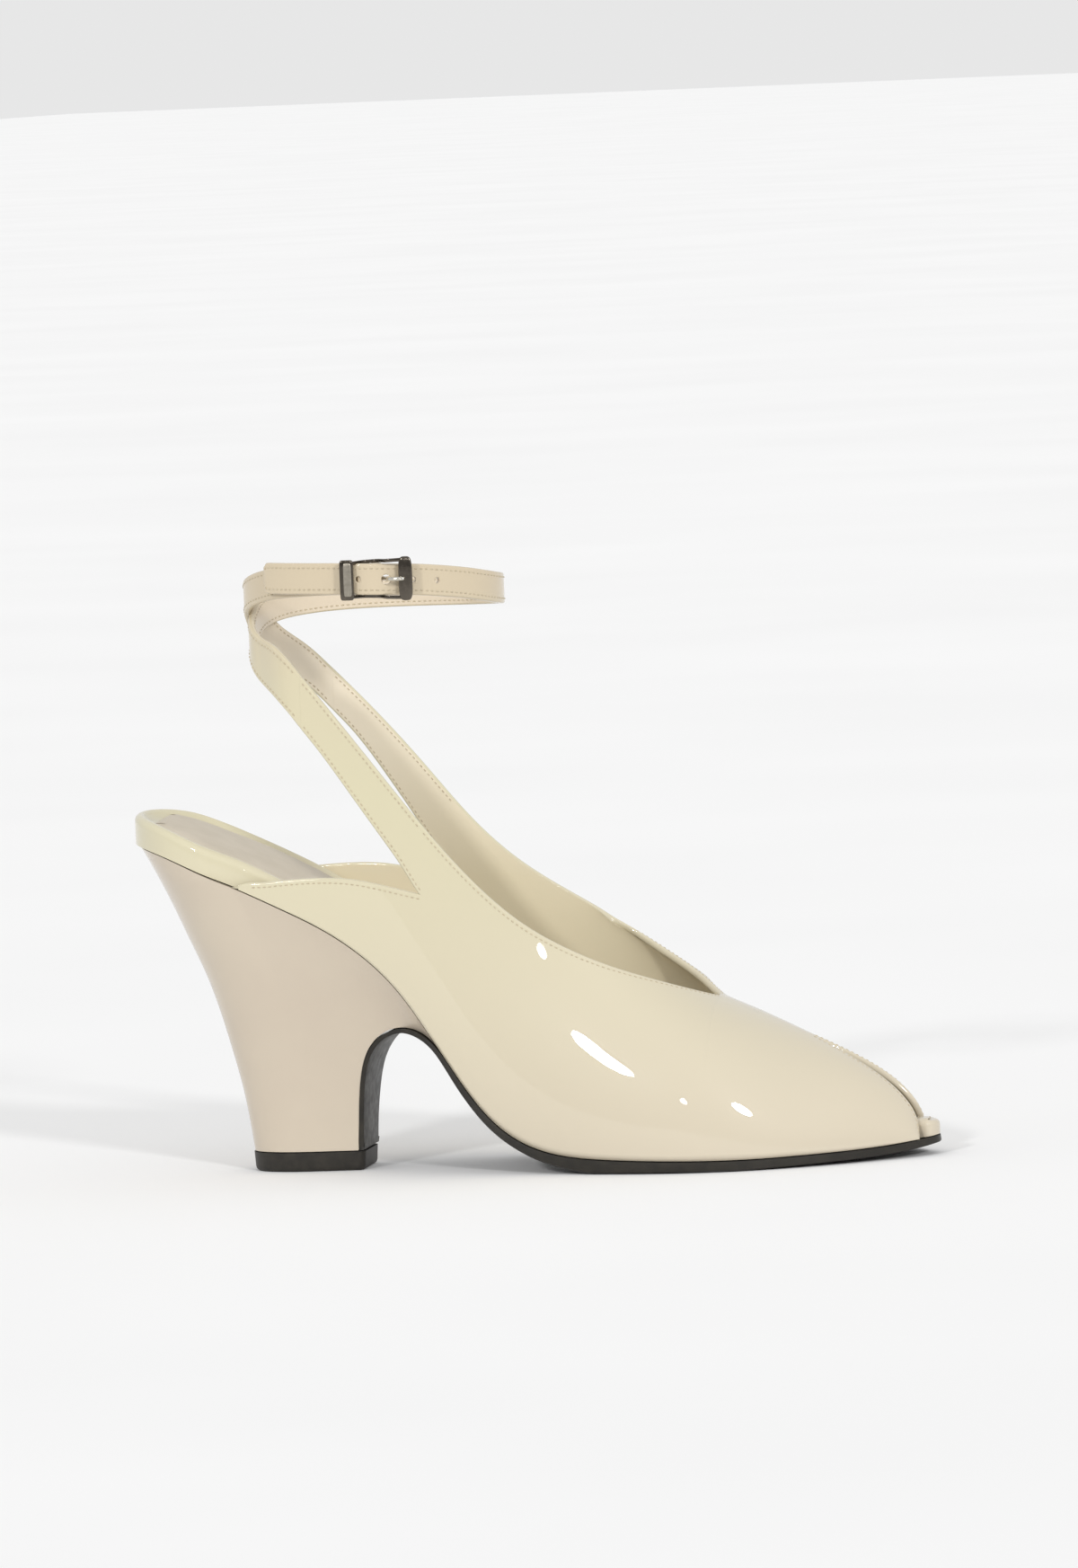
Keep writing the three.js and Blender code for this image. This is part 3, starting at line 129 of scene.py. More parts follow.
# The upper's sections from the tail to the toe.
BODY = table("along outer inner outerHalf innerHalf ridge crown bulge rise drop", [
    (0.15, 1.78, 1.735, 0.304, 0.304, 0, 0, 0.6, 0.33, 0.33),
    (0.2, 1.64, 1.608, 0.314, 0.314, 0, 0, 0.7, 0.33, 0.33),
    (0.25, 1.487, 1.481, 0.324, 0.324, 0, 0, 0.9, 0.33, 0.33),
    (0.3, 1.33, 1.347, 0.338, 0.333, 0, 0, 1.2, 0.33, 0.33),
    (0.35, 1.169, 1.203, 0.343, 0.333, 0, 0, 1.6, 0.33, 0.33),
    (0.4, 1.01, 1.056, 0.341, 0.326, 0, 0, 2.1, 0.33, 0.33),
    (0.45, 0.872, 0.936, 0.341, 0.321, 0, 0, 2.6, 0.33, 0.33),
    (0.5, 0.764, 0.847, 0.343, 0.319, 0, 0.2, 3, 0.34, 0.32),
    (0.55, 0.688, 0.774, 0.338, 0.316, 0, 0.6, 3.2, 0.35, 0.29),
    (0.6, 0.63, 0.702, 0.315, 0.302, 0, 1.6, 3, 0.38, 0.24),
    (0.65, 0.582, 0.628, 0.258, 0.258, 0, 1.9, 2.4, 0.42, 0.18),
    (0.7, 0.536, 0.552, 0.162, 0.165, 0, 1.6, 1.8, 0.46, 0.11),
    (0.7335, 0.501, 0.501, 0, 0, 0, 0, 1.2, 0.49, 0.05),
    (0.78, 0.449, 0.449, 0, 0, 0.5, 0, 0.8, 0.5, 0.03),
    (0.8375, 0.38, 0.38, 0, 0, 1.1, 0, 0.5, 0.5, 0.03),
    (0.885, 0.317, 0.319, 0.03, 0.03, 1.4, 0, 0.3, 0.5, 0.04),
    (0.925, 0.254, 0.26, 0.046, 0.046, 1.4, 0, 0.1, 0.48, 0.07),
    (0.953, 0.195, 0.203, 0.056, 0.056, 1.2, 0, 0, 0.44, 0.13),
    (0.97, 0.14, 0.147, 0.067, 0.067, 1, 0, 0, 0.38, 0.22),
    (0.9765, 0.096, 0.1, 0.08, 0.085, 0.8, 0, 0, 0.34, 0.3),
    (0.979, 0.056, 0.056, 0.104, 0.119, 0.7, 0, 0, 0.33, 0.33),
])
THROAT = 12
SLIT = 14

# Top edge of the quarters' tails and rear edge of the slings.
TAIL = table("along outer inner", [
    (0.1475, 0.888, 0.888),
    (0.155, 0.896, 0.896),
    (0.175, 0.9, 0.9),
    (0.2, 0.903, 0.904),
    (0.25, 0.909, 0.911),
    (0.3, 0.9, 0.905),
    (0.35, 0.871, 0.88),
    (0.3833, 0.85, 0.866),
])
SLING = table("along outer inner", [
    (0.2375, 1.376, 1.394),
    (0.26, 1.304, 1.333),
    (0.3, 1.163, 1.197),
    (0.34, 1.02, 1.046),
    (0.36, 0.945, 0.965),
    (0.3755, 0.88, 0.897),
    (0.3833, 0.85, 0.866),
])
NOTCH = 0.3833
SLING_END = 0.2375
TAIL_END = 0.1475

# The straps round the ankle: turn in degrees from the front, height of the middle, height and stand-off.
LONG_STRAP = table("turn mid tall out", [
    (236.9, 1.457, 1.78, 0),
    (230, 1.487, 1.75, 0.2),
    (222, 1.533, 1.67, 0.8),
    (214, 1.57, 1.52, 1.6),
    (206, 1.602, 1.36, 2.1),
    (197, 1.635, 1.22, 1.6),
    (187, 1.668, 1.12, 0.6),
    (176, 1.698, 1.06, 0),
    (162, 1.717, 1.01, 0),
    (148, 1.731, 1, 0),
    (129, 1.742, 1, 0),
    (104, 1.748, 1, 0),
    (72, 1.75, 1, 0),
    (50, 1.752, 1, 0),
    (25, 1.757, 1, 0),
    (0, 1.765, 1, 0),
    (-20, 1.778, 1, 0),
    (-38, 1.794, 1, 0.3),
    (-53, 1.806, 1, 1.4),
    (-67, 1.815, 1, 2.8),
    (-84, 1.821, 1, 3.9),
    (-96, 1.824, 1, 3.1),
    (-112, 1.826, 1, 2.3),
    (-138.5, 1.828, 1, 2.2),
])
SHORT_STRAP = table("turn mid tall out", [
    (123.1, 1.453, 1.42, 0),
    (134, 1.514, 1.46, 0.6),
    (144, 1.567, 1.48, 1.8),
    (154, 1.618, 1.46, 2.3),
    (163, 1.663, 1.4, 2.3),
    (172, 1.705, 1.3, 2.3),
    (181, 1.739, 1.17, 2.2),
    (191, 1.766, 1.06, 2.15),
    (202, 1.787, 1.02, 1.3),
    (214, 1.802, 1, 0.4),
    (228, 1.812, 0.98, 0),
    (250, 1.819, 0.97, -0.1),
    (269, 1.821, 1, -0.3),
])

# The buckle: its place round the ankle and its sizes.
BUCKLE_TURN = -84
BUCKLE_UP = 1.821 * HEEL_HEIGHT
FRAME_TALL = 12
FRAME_BACK = -8.1
FRAME_FRONT = 11.8
BAR_WIDE = 3.8
BAR_THICK = 1.5
BAR_OUT = 5.6
HINGE_OUT = 0.9
HINGE_RADIUS = 0.6
PRONG_AT = 4
HOLE_PITCH = 6.9
DEGREES_PER_MM = 1.68
HOLE_RADIUS = 1.3


# ---- mathematics of the surfaces ----
def natural_spline(xs, ys):
    """Natural cubic spline through points, straight beyond its ends; its bends come from one linear solve."""
    xs, ys = np.asarray(xs, float), np.asarray(ys, float)
    width = np.diff(xs)
    bend = np.zeros(len(xs))
    if len(xs) > 2:
        web = np.diag(2 * (width[:-1] + width[1:])) + np.diag(width[1:-1], 1) + np.diag(width[1:-1], -1)
        bend[1:-1] = np.linalg.solve(web, 6 * np.diff(np.diff(ys) / width))

    def at(x):
        x = np.asarray(x, float)
        held = np.clip(x, xs[0], xs[-1])
        i = np.clip(np.searchsorted(xs, held) - 1, 0, len(xs) - 2)
        a, b = (xs[i + 1] - held) / width[i], (held - xs[i]) / width[i]
        curve = ((a**3 - a) * bend[i] + (b**3 - b) * bend[i + 1]) * width[i] ** 2 / 6
        slope = (ys[i + 1] - ys[i]) / width[i]
        slope = slope + ((1 - 3 * a**2) * bend[i] + (3 * b**2 - 1) * bend[i + 1]) * width[i] / 6
        return a * ys[i] + b * ys[i + 1] + curve + slope * (x - held)

    return at


def by_row(columns, name):
    """Spline through a table's column over its row numbers."""
    return natural_spline(np.arange(len(columns[name])), columns[name])


def bisect(low, high, is_low):
    """Halves the bracket of every element 40 times; is_low says where the middle lies before the goal."""
    for _ in range(40):
        middle = (low + high) / 2
        before = is_low(middle)
        low, high = np.where(before, middle, low), np.where(before, high, middle)
    return (low + high) / 2


def round_steps(start, end, count):
    """Steps from start to end, closer together at both ends as on a half circle."""
    return start + (end - start) * (1 - np.cos(np.linspace(0, np.pi, count + 1))) / 2


def ease(share):
    """Smooth step from 0 to 1."""
    share = np.clip(share, 0, 1)
    return share * share * (3 - 2 * share)


def bezier(points, t):
    """Cubic Bezier through four control values."""
    s = 1 - t
    return s**3 * points[0] + 3 * s * s * t * points[1] + 3 * s * t * t * points[2] + t**3 * points[3]


def first_part(points, cut):
    """Control values of a cubic Bezier's part up to cut."""
    a, b, c, d = points
    ab, bc, cd = a + (b - a) * cut, b + (c - b) * cut, c + (d - c) * cut
    abc, bcd = ab + (bc - ab) * cut, bc + (cd - bc) * cut
    return [a, ab, abc, abc + (bcd - abc) * cut]


def unit(vectors):
    """Vectors scaled to length one."""
    return vectors / np.maximum(np.linalg.norm(vectors, axis=-1, keepdims=True), 1e-12)


def share_of(x):
    return (x - SEAT_BACK) / LENGTH


def place_of(share):
    return SEAT_BACK + share * LENGTH


SQUARES = {side: natural_spline(PLAN["along"], (PLAN[name] * BALL_WIDTH) ** 2) for side, name in SIDES.items()}
FEATHER = natural_spline(PLAN["along"], PLAN["feather"] * HEEL_HEIGHT)


def half_width(side, x):
    """Half width of the outline: root of a spline through the squares, so that the ends are round."""
    return np.sqrt(np.maximum(0, SQUARES[side](np.minimum(1, share_of(x)))))


def feather(x):
    """Height of the upper's lower edge."""
    return FEATHER(share_of(x))


# ---- meshes ----
def grid_triangles(columns, rows, start=0, turn=False):
    """Two triangles for each cell of a grid of points stored column by column."""
    a = (start + np.arange(columns - 1)[:, None] * rows + np.arange(rows - 1)[None, :]).ravel()
    b = a + rows
    faces = np.concatenate([np.stack([a, b, b + 1], 1), np.stack([a, b + 1, a + 1], 1)])
    return faces[:, ::-1] if turn else faces


def weld(points, faces):
    """Joins points that agree to a thousandth of a millimetre; returns points, faces and which faces stay."""
    keys = np.floor(points * 1000 + 0.3137).astype(np.int64)
    _, first, back = np.unique(keys, axis=0, return_index=True, return_inverse=True)
    faces = back.ravel()[faces]
    stays = (faces[:, 0] != faces[:, 1]) & (faces[:, 1] != faces[:, 2]) & (faces[:, 2] != faces[:, 0])
    return points[first], faces[stays], stays


def make_piece(name, points, faces, finishes, finish_of=None, crease=None):
    """A mesh object from points in millimetres and triangles, welded and turned outward."""
    points, faces, stays = weld(points, faces)
    corner = points[faces]
    volume = np.einsum("ij,ij->", corner[:, 0], np.cross(corner[:, 1], corner[:, 2]))
    if volume < 0:
        faces = faces[:, ::-1]
    mesh = bpy.data.meshes.new(name)
    mesh.vertices.add(len(points))
    mesh.vertices.foreach_set("co", (points * MM).astype(np.float32).ravel())
    mesh.loops.add(faces.size)
    mesh.loops.foreach_set("vertex_index", faces.astype(np.int32).ravel())
    mesh.polygons.add(len(faces))
    mesh.polygons.foreach_set("loop_start", np.arange(0, faces.size, 3, dtype=np.int32))
    mesh.polygons.foreach_set("use_smooth", np.ones(len(faces), bool))
    for finish in finishes:
        mesh.materials.append(finish)
    if finish_of is not None:
        mesh.polygons.foreach_set("material_index", finish_of[stays].astype(np.int32))
    mesh.update(calc_edges=True)
    if crease is not None:
        mesh.set_sharp_from_angle(angle=math.radians(crease))
    thing = bpy.data.objects.new(name, mesh)
    scene.collection.objects.link(thing)
    return thing


def point_normals(points, faces):
    """Normals of a sheet's points, weighted by the area of the faces round them."""
    corner = points[faces]
    across = np.cross(corner[:, 1] - corner[:, 0], corner[:, 2] - corner[:, 0])
    total = np.stack([np.bincount(faces.ravel(), np.repeat(across[:, k], 3), len(points)) for k in range(3)], 1)
    return unit(total)


def shell(points, faces, wall, round_rim, is_flat, floor=None, rim_steps=8):
    """A sheet given a thickness inward.

    Its free edges are closed by a half ellipse: from the outer edge point to the inner one it runs as
    middle + cos(turn) half the wall + sin(turn) round_rim outward in the sheet. is_flat marks points whose edge
    stays flat. Returns points, faces and 1 for each face of the inner side.
    """
    points, faces, _ = weld(points, faces)
    count = len(points)
    normal = point_normals(points, faces)
    inner = points - normal * wall
    if floor is not None:
        inner[:, 2] = np.maximum(inner[:, 2], floor(inner[:, 0]))
    edges = np.concatenate([faces[:, [0, 1]], faces[:, [1, 2]], faces[:, [2, 0]]])
    free = edges[~np.isin(edges[:, 0] * count + edges[:, 1], edges[:, 1] * count + edges[:, 0])]
    along = np.zeros((count, 3))
    step = unit(points[free[:, 1]] - points[free[:, 0]])
    np.add.at(along, free[:, 0], step)
    np.add.at(along, free[:, 1], step)
    outward = unit(np.cross(along, normal)) * (~is_flat(points))[:, None] * round_rim
    rim = np.unique(free)
    slot = np.zeros(count, int)
    slot[rim] = np.arange(len(rim))
    rings = [points]
    for turn in np.linspace(0, np.pi, rim_steps + 1)[1:-1]:
        middle = (points[rim] + inner[rim]) / 2
        half = (points[rim] - inner[rim]) / 2
        rings.append(middle + half * math.cos(turn) + outward[rim] * math.sin(turn))
    rings.append(inner)
    starts = [0] + [count + len(rim) * k for k in range(rim_steps)]
    walls = []
    for k in range(rim_steps):
        here = free if k == 0 else starts[k] + slot[free]
        there = starts[k + 1] + (free if k == rim_steps - 1 else slot[free])
        p, q, r, s = here[:, 0], here[:, 1], there[:, 0], there[:, 1]
        walls += [np.stack([q, p, r], 1), np.stack([q, r, s], 1)]
    back = faces[:, ::-1] + starts[-1]
    faces_all = np.concatenate([faces, *walls, back])
    inside = np.zeros(len(faces_all), int)
    inside[len(faces_all) - len(back):] = 1
    return np.concatenate(rings), faces_all, inside


# ---- finishes ----
def to_linear(rgb):
    """Screen colour 0..255 to linear light."""
    c = np.array(rgb) / 255
    return tuple(np.where(c <= 0.04045, c / 12.92, ((c + 0.055) / 1.055) ** 2.4)) + (1,)


class Finish:
    """A procedural material built round one Principled shader."""

    def __init__(self, name, **sockets):
        self.material = bpy.data.materials.new(name)
        self.material.use_nodes = True
        self.tree = self.material.node_tree
        self.shader = self.tree.nodes["Principled BSDF"]
        for socket, value in sockets.items():
            self.shader.inputs[socket.replace("_", " ")].default_value = value
        self.place = self.tree.nodes.new("ShaderNodeTexCoord").outputs["Object"]

    def noise(self, scale, detail=2, stretch=None):
        """Noise of the given number of waves per metre."""
        source = self.place
        if stretch is not None:
            mapping = self.tree.nodes.new("ShaderNodeMapping")
            mapping.inputs["Scale"].default_value = stretch
            self.tree.links.new(source, mapping.inputs["Vector"])
            source = mapping.outputs["Vector"]
        node = self.tree.nodes.new("ShaderNodeTexNoise")
        node.inputs["Scale"].default_value = scale
        node.inputs["Detail"].default_value = detail
        self.tree.links.new(source, node.inputs["Vector"])
        return node.outputs["Fac"]

    def ramp(self, source, stops, socket):
        """Colours or greys by a value, sent to a socket of the shader."""
        node = self.tree.nodes.new("ShaderNodeValToRGB")
        ramp = node.color_ramp
        ramp.elements[0].position, ramp.elements[1].position = stops[0][0], stops[-1][0]
        ramp.elements[0].color, ramp.elements[1].color = stops[0][1], stops[-1][1]
        for at, colour in stops[1:-1]:
            ramp.elements.new(at).color = colour
        self.tree.links.new(source, node.inputs["Fac"])
        self.tree.links.new(node.outputs["Color"], self.shader.inputs[socket])
        return node.outputs["Color"]

    def height(self, low, high):
        """0 at the lower height in metres, 1 at the higher one."""
        split = self.tree.nodes.new("ShaderNodeSeparateXYZ")
        self.tree.links.new(self.place, split.inputs[0])
        span = self.tree.nodes.new("ShaderNodeMapRange")
        span.inputs["From Min"].default_value = low
        span.inputs["From Max"].default_value = high
        self.tree.links.new(split.outputs["Z"], span.inputs["Value"])
        return span.outputs["Result"]

    def bump(self, layers, socket="Normal"):
        """Adds height maps one on the other; each has a source, its depth in millimetres and a strength."""
        last = None
        for source, depth, strength in layers:
            node = self.tree.nodes.new("ShaderNodeBump")
            node.inputs["Distance"].default_value = depth * MM
            node.inputs["Strength"].default_value = strength
            self.tree.links.new(source, node.inputs["Height"])
            if last is not None:
                self.tree.links.new(last, node.inputs["Normal"])
            last = node.outputs["Normal"]
        self.tree.links.new(last, self.shader.inputs[socket])


def grey(value):
    return (value, value, value, 1)


def make_finishes():
    """The pump's finishes by the name of their use."""
    patent = Finish("patent leather, cream", Roughness=0.4, Coat_Weight=1, Coat_Roughness=0.02, Specular_IOR_Level=0.1)
    # Base colour by height is painted light: pinkish low down, yellower in the middle, pinker and a little darker at
    # the strap's height. These are the tints of the light falling on the leather, not the leather's own colour.
    painted_light_tints = [(0, (206, 195, 175)), (0.65, (209, 202, 172)), (0.85, (209, 200, 171)), (1, (205, 190, 163))]
    patent.ramp(patent.height(0, 0.16), [(at, to_linear(shade)) for at, shade in painted_light_tints], "Base Color")
    patent.bump([(patent.noise(70, 1), 0.12, 0.5), (patent.noise(420, 3), 0.012, 0.6)])
    patent.bump([(patent.noise(55, 1), 0.10, 0.4)], "Coat Normal")

    cover = Finish("heel cover, cream", Roughness=0.4, Coat_Weight=1, Coat_Roughness=0.04, Specular_IOR_Level=0.1)
    cover.ramp(cover.noise(28, 3), [(0.3, to_linear((197, 184, 166))), (0.7, to_linear((202, 190, 171)))], "Base Color")
    cover.bump([(cover.noise(60, 1), 0.1, 0.4), (cover.noise(500, 3), 0.01, 0.6)])

    lining = Finish("lining leather, cream", Roughness=0.36, Coat_Weight=0.35, Coat_Roughness=0.12, Specular_IOR_Level=0.35)
    # Base colour by height is painted light and shade: darker low down inside the shoe where shade falls, paler higher
    # up, and pinker again at the strap's height, as on the patent.
    painted_light_tints = [(0.5, (216, 205, 176)), (0.75, (228, 218, 196)), (0.9, (228, 217, 197)), (1, (216, 202, 180))]
    lining.ramp(lining.height(0, 0.155), [(at, to_linear(shade)) for at, shade in painted_light_tints], "Base Color")
    lining.bump([(lining.noise(1400, 6), 0.03, 0.5)])

    sock = Finish("sock leather, sand", Roughness=0.5, Specular_IOR_Level=0.35)
    sock.ramp(sock.noise(120, 5), [(0.3, to_linear((194, 184, 166))), (0.7, to_linear((202, 192, 175)))], "Base Color")
    sock.bump([(sock.noise(1500, 6), 0.03, 0.5)])

    sole = Finish("sole leather, black", Roughness=0.42, Specular_IOR_Level=0.4)
    sole.ramp(sole.noise(240, 6), [(0.3, to_linear((30, 27, 22))), (0.75, to_linear((44, 40, 33)))], "Base Color")
    sole.ramp(sole.noise(420, 4), [(0.3, grey(0.36)), (0.7, grey(0.52))], "Roughness")
    sole.bump([(sole.noise(1600, 5), 0.03, 0.5)])

    tip = Finish("top piece rubber, black", Roughness=0.5, Specular_IOR_Level=0.4)
    tip.ramp(tip.noise(500, 5), [(0.3, to_linear((34, 31, 26))), (0.7, to_linear((46, 42, 36)))], "Base Color")
    tip.bump([(tip.noise(2200, 4), 0.03, 0.5)])

    metal = Finish("buckle metal, dark", Metallic=1, Roughness=0.2)
    metal.ramp(metal.noise(300, 3), [(0.3, to_linear((92, 86, 78))), (0.7, to_linear((108, 101, 92)))], "Base Color")
    metal.ramp(metal.noise(900, 4), [(0.3, grey(0.1)), (0.7, grey(0.2))], "Roughness")

    plate = Finish("buckle plate, plain", Metallic=1, Roughness=0.35)
    plate.ramp(plate.noise(900, 3), [(0.3, to_linear((150, 144, 132))), (0.7, to_linear((172, 165, 152)))], "Base Color")

    bright = Finish("prong metal, bright", Metallic=1, Roughness=0.16)
    bright.ramp(bright.noise(500, 3), [(0.3, to_linear((206, 202, 192))), (0.7, to_linear((222, 218, 208)))], "Base Color")

    thread = Finish("thread, cream", Roughness=0.5, Sheen_Weight=0.3)
    # Thread darker than the leather: partly the thread's own tan, partly painted shade of the stitch holes.
    thread.ramp(thread.noise(1800, 3), [(0.3, to_linear((178, 163, 134))), (0.7, to_linear((200, 187, 158)))], "Base Color")
    thread.bump([(thread.noise(5200, 2, (1, 1, 3)), 0.04, 0.8)])

    paper = Finish("studio floor, pale", Roughness=1, Specular_IOR_Level=0)
    paper.ramp(paper.noise(3, 2), [(0.3, to_linear((244, 244, 244))), (0.7, to_linear((247, 247, 247)))], "Base Color")
    return {
        name: finish.material
        for name, finish in dict(
            patent=patent, cover=cover, lining=lining, sock=sock, sole=sole, tip=tip,
            metal=metal, plate=plate, bright=bright, thread=thread, paper=paper,
        ).items()
    }


FINISH = make_finishes()

# ---- upper ----
ROW_NUMBERS = np.arange(len(BODY["along"]))
FINE_ROWS = np.linspace(0, len(BODY["along"]) - 1, 8001)
BODY_AT = {name: by_row(BODY, name) for name in ("along", "outer", "inner", "ridge", "crown", "bulge", "rise", "drop")}
HALF_BEHIND = {
    name: natural_spline(ROW_NUMBERS[: THROAT + 1], BODY[name + "Half"][: THROAT + 1] ** 2) for name in SIDES.values()
}
HALF_AHEAD = {name: natural_spline(ROW_NUMBERS[SLIT:], BODY[name + "Half"][SLIT:]) for name in SIDES.values()}
TAIL_TOP = {name: natural_spline(TAIL["along"], TAIL[name] * HEEL_HEIGHT) for name in SIDES.values()}
SLING_REAR = {name: natural_spline(SLING["along"], SLING[name] * HEEL_HEIGHT) for name in SIDES.values()}


def row_at(along):
    """Row number of the body's table at a share of the length."""
    return np.interp(along, BODY_AT["along"](FINE_ROWS), FINE_ROWS)


def top_half(name, u):
    """Distance of the top edge from the middle: nought where the two sides are one."""
    behind = np.sqrt(np.maximum(0, HALF_BEHIND[name](u)))
    return np.where(u < THROAT, behind, np.where(u > SLIT, np.maximum(0, HALF_AHEAD[name](u)), 0))


THROAT_DROP = 0.02
THROAT_FULL = 0.82
EASE_START, EASE_LONG = 8, 3
FULL_LONG = 3


def section(side, u, t):
    """Point of the upper's outside.

    Cubic Bezier from the lower edge at t = 0 to the top edge at t = 1. Its handles stand bulge outside the lower
    edge and half way between the two edges; the inner side is lifted by crown before its top edge. Toward the
    throat it eases into the first share of a section that would run on to the middle, so that the opening is cut
    out of one smooth vamp.
    """
    name = SIDES[side]
    x = place_of(BODY_AT["along"](u))
    foot, low = half_width(side, x), feather(x)
    joined = (BODY_AT["outer"](u) + BODY_AT["inner"](u)) / 2
    top = np.where((u > THROAT) & (u < SLIT), joined, BODY_AT[name](u)) * HEEL_HEIGHT
    high = np.maximum(low, top)
    offset = BODY_AT["ridge"](u) * ease(u - THROAT)
    half = top_half(name, u) * BALL_WIDTH + side * offset
    tall = np.maximum(high - low, 1e-6)
    crown = np.maximum(0, BODY_AT["crown"](u)) * ease(THROAT - u) if side > 0 else np.zeros_like(x)
    full = np.minimum(1, crown / 2)
    rise = BODY_AT["rise"](u) + 0.15 * full
    flat = np.where(u < THROAT, 0, 1 - ease((u - THROAT) / FULL_LONG))
    base_drop = BODY_AT["drop"](u) * (1 - flat) + THROAT_DROP * flat
    drop = base_drop * (1 - full) - 1.6 * crown / tall
    bulged = foot + BODY_AT["bulge"](u)
    reach_out = 0.5 + (THROAT_FULL - 0.5) * flat
    y = [foot, bulged, half + reach_out * (foot - half), half]
    z = [low, low + rise * tall, high - drop * tall, high]
    whole_drop = THROAT_DROP * (1 - full) - 1.6 * crown / tall
    whole_y = [foot, bulged, THROAT_FULL * foot, 0 * foot]
    cut = bisect(np.zeros_like(x), np.ones_like(x), lambda q: bezier(whole_y, q) > half)
    reach = tall / bezier([0, rise, 1 - whole_drop, 1], cut)
    whole_z = [low, low + rise * reach, low + (1 - whole_drop) * reach, low + reach]
    w = np.where(u < THROAT, ease((u - EASE_START) / EASE_LONG), 0)
    y = [p + (q - p) * w for p, q in zip(y, first_part(whole_y, cut))]
    z = [p + (q - p) * w for p, q in zip(z, first_part(whole_z, cut))]
    late = np.maximum(0, (t - 0.4) / 0.6)
    lift = crown * 6.75 * late * late * (1 - late)
    return np.stack(np.broadcast_arrays(x, side * bezier(y, t), bezier(z, t) + lift), -1)


def share_at_height(side, u, z):
    """Share t at which a section reaches a height."""
    return bisect(np.zeros_like(u), np.ones_like(u), lambda t: section(side, u, t)[..., 2] < z)


LOWER_ROWS = 34
UPPER_ROWS = 20
LOWER_STEPS = np.sin(np.linspace(0, np.pi / 2, LOWER_ROWS + 1))
UPPER_STEPS = round_steps(0, 1, UPPER_ROWS)


def sling_columns(side, along):
    """Columns of a sling from its rear edge to its front edge."""
    u = row_at(along)
    rear = share_at_height(side, u, SLING_REAR[SIDES[side]](along))
    t = rear[:, None] + (1 - rear[:, None]) * UPPER_STEPS
    return section(side, u[:, None], t)


def upper_grids(side):
    """The three sheets of one side: the vamp and quarter, the tail under the heel seat and the sling."""
    notch = row_at(NOTCH)
    top_of_tail = TAIL_TOP[SIDES[side]]
    notch_share = share_at_height(side, np.array([notch]), top_of_tail(NOTCH))
    throat_rows = 8 + 4 * (1 - (1 - np.linspace(0, 1, 61)[1:]) ** 1.8)
    u = np.concatenate([
        np.linspace(notch, 8, 91), throat_rows, np.linspace(THROAT, SLIT, 26)[1:],
        np.linspace(SLIT, len(ROW_NUMBERS) - 1, 71)[1:],
    ])[:, None]
    middle = notch_share + (LOWER_ROWS / (LOWER_ROWS + UPPER_ROWS) - notch_share) * np.minimum(1, (u - notch) / 6)
    t = np.concatenate([middle * LOWER_STEPS[:-1], middle + (1 - middle) * UPPER_STEPS], 1)
    main = section(side, u, t)
    tail_along = round_steps(TAIL_END, NOTCH, 80)
    tail_u = row_at(tail_along)
    top = share_at_height(side, tail_u, top_of_tail(tail_along))
    top[0], top[-1] = 0, notch_share[0]
    tail = section(side, tail_u[:, None], top[:, None] * LOWER_STEPS)
    steps = 1 - (1 - np.linspace(0, 1, 61)) ** 1.2
    sling_along = SLING_END + (NOTCH - SLING_END) * np.insert(steps, 1, 0.002)
    sling = sling_columns(side, sling_along)
    rear = notch_share[0] + (1 - notch_share[0]) * UPPER_STEPS
    sling[-1] = section(side, notch, rear)
    return main, tail, sling


def joined_sheet(grids, turns):
    """Grids as one list of points and triangles."""
    points, faces, start = [], [], 0
    for grid, turn in zip(grids, turns):
        columns, rows = grid.shape[:2]
        points.append(grid.reshape(-1, 3))
        faces.append(grid_triangles(columns, rows, start, turn))
        start += columns * rows
    return np.concatenate(points), np.concatenate(faces)


def make_upper():
    grids = {side: upper_grids(side) for side in SIDES}
    every = [grid for side in SIDES for grid in grids[side]]
    points, faces = joined_sheet(every, [side > 0 for side in SIDES for _ in grids[side]])
    sling_x = place_of(SLING_END)

    def is_flat(at):
        on_feather = at[:, 2] < feather(at[:, 0]) + 0.02
        on_join = (np.abs(at[:, 0] - sling_x) < 0.02) & (at[:, 2] > 1.1 * HEEL_HEIGHT)
        return on_feather | on_join

    points, faces, inside = shell(points, faces, WALL, 0.55, is_flat, feather)
    piece = make_piece("upper_leather", points, faces, [FINISH["patent"], FINISH["lining"]], inside)
    return piece, grids


# ---- straps ----
def ankle_point(turn, out):
    """Point beside the ellipse round the ankle: turn in degrees from the front, out along its normal."""
    angle = np.radians(turn)
    a, b = ANKLE_LENGTH / 2, ANKLE_WIDTH / 2
    on = np.stack([ANKLE_X + a * np.cos(angle), b * np.sin(angle)], -1)
    normal = unit(np.stack([np.cos(angle) / a, np.sin(angle) / b], -1))
    return on + normal * np.asarray(out)[..., None]


STRAP_STEPS = round_steps(0, 1, 20)


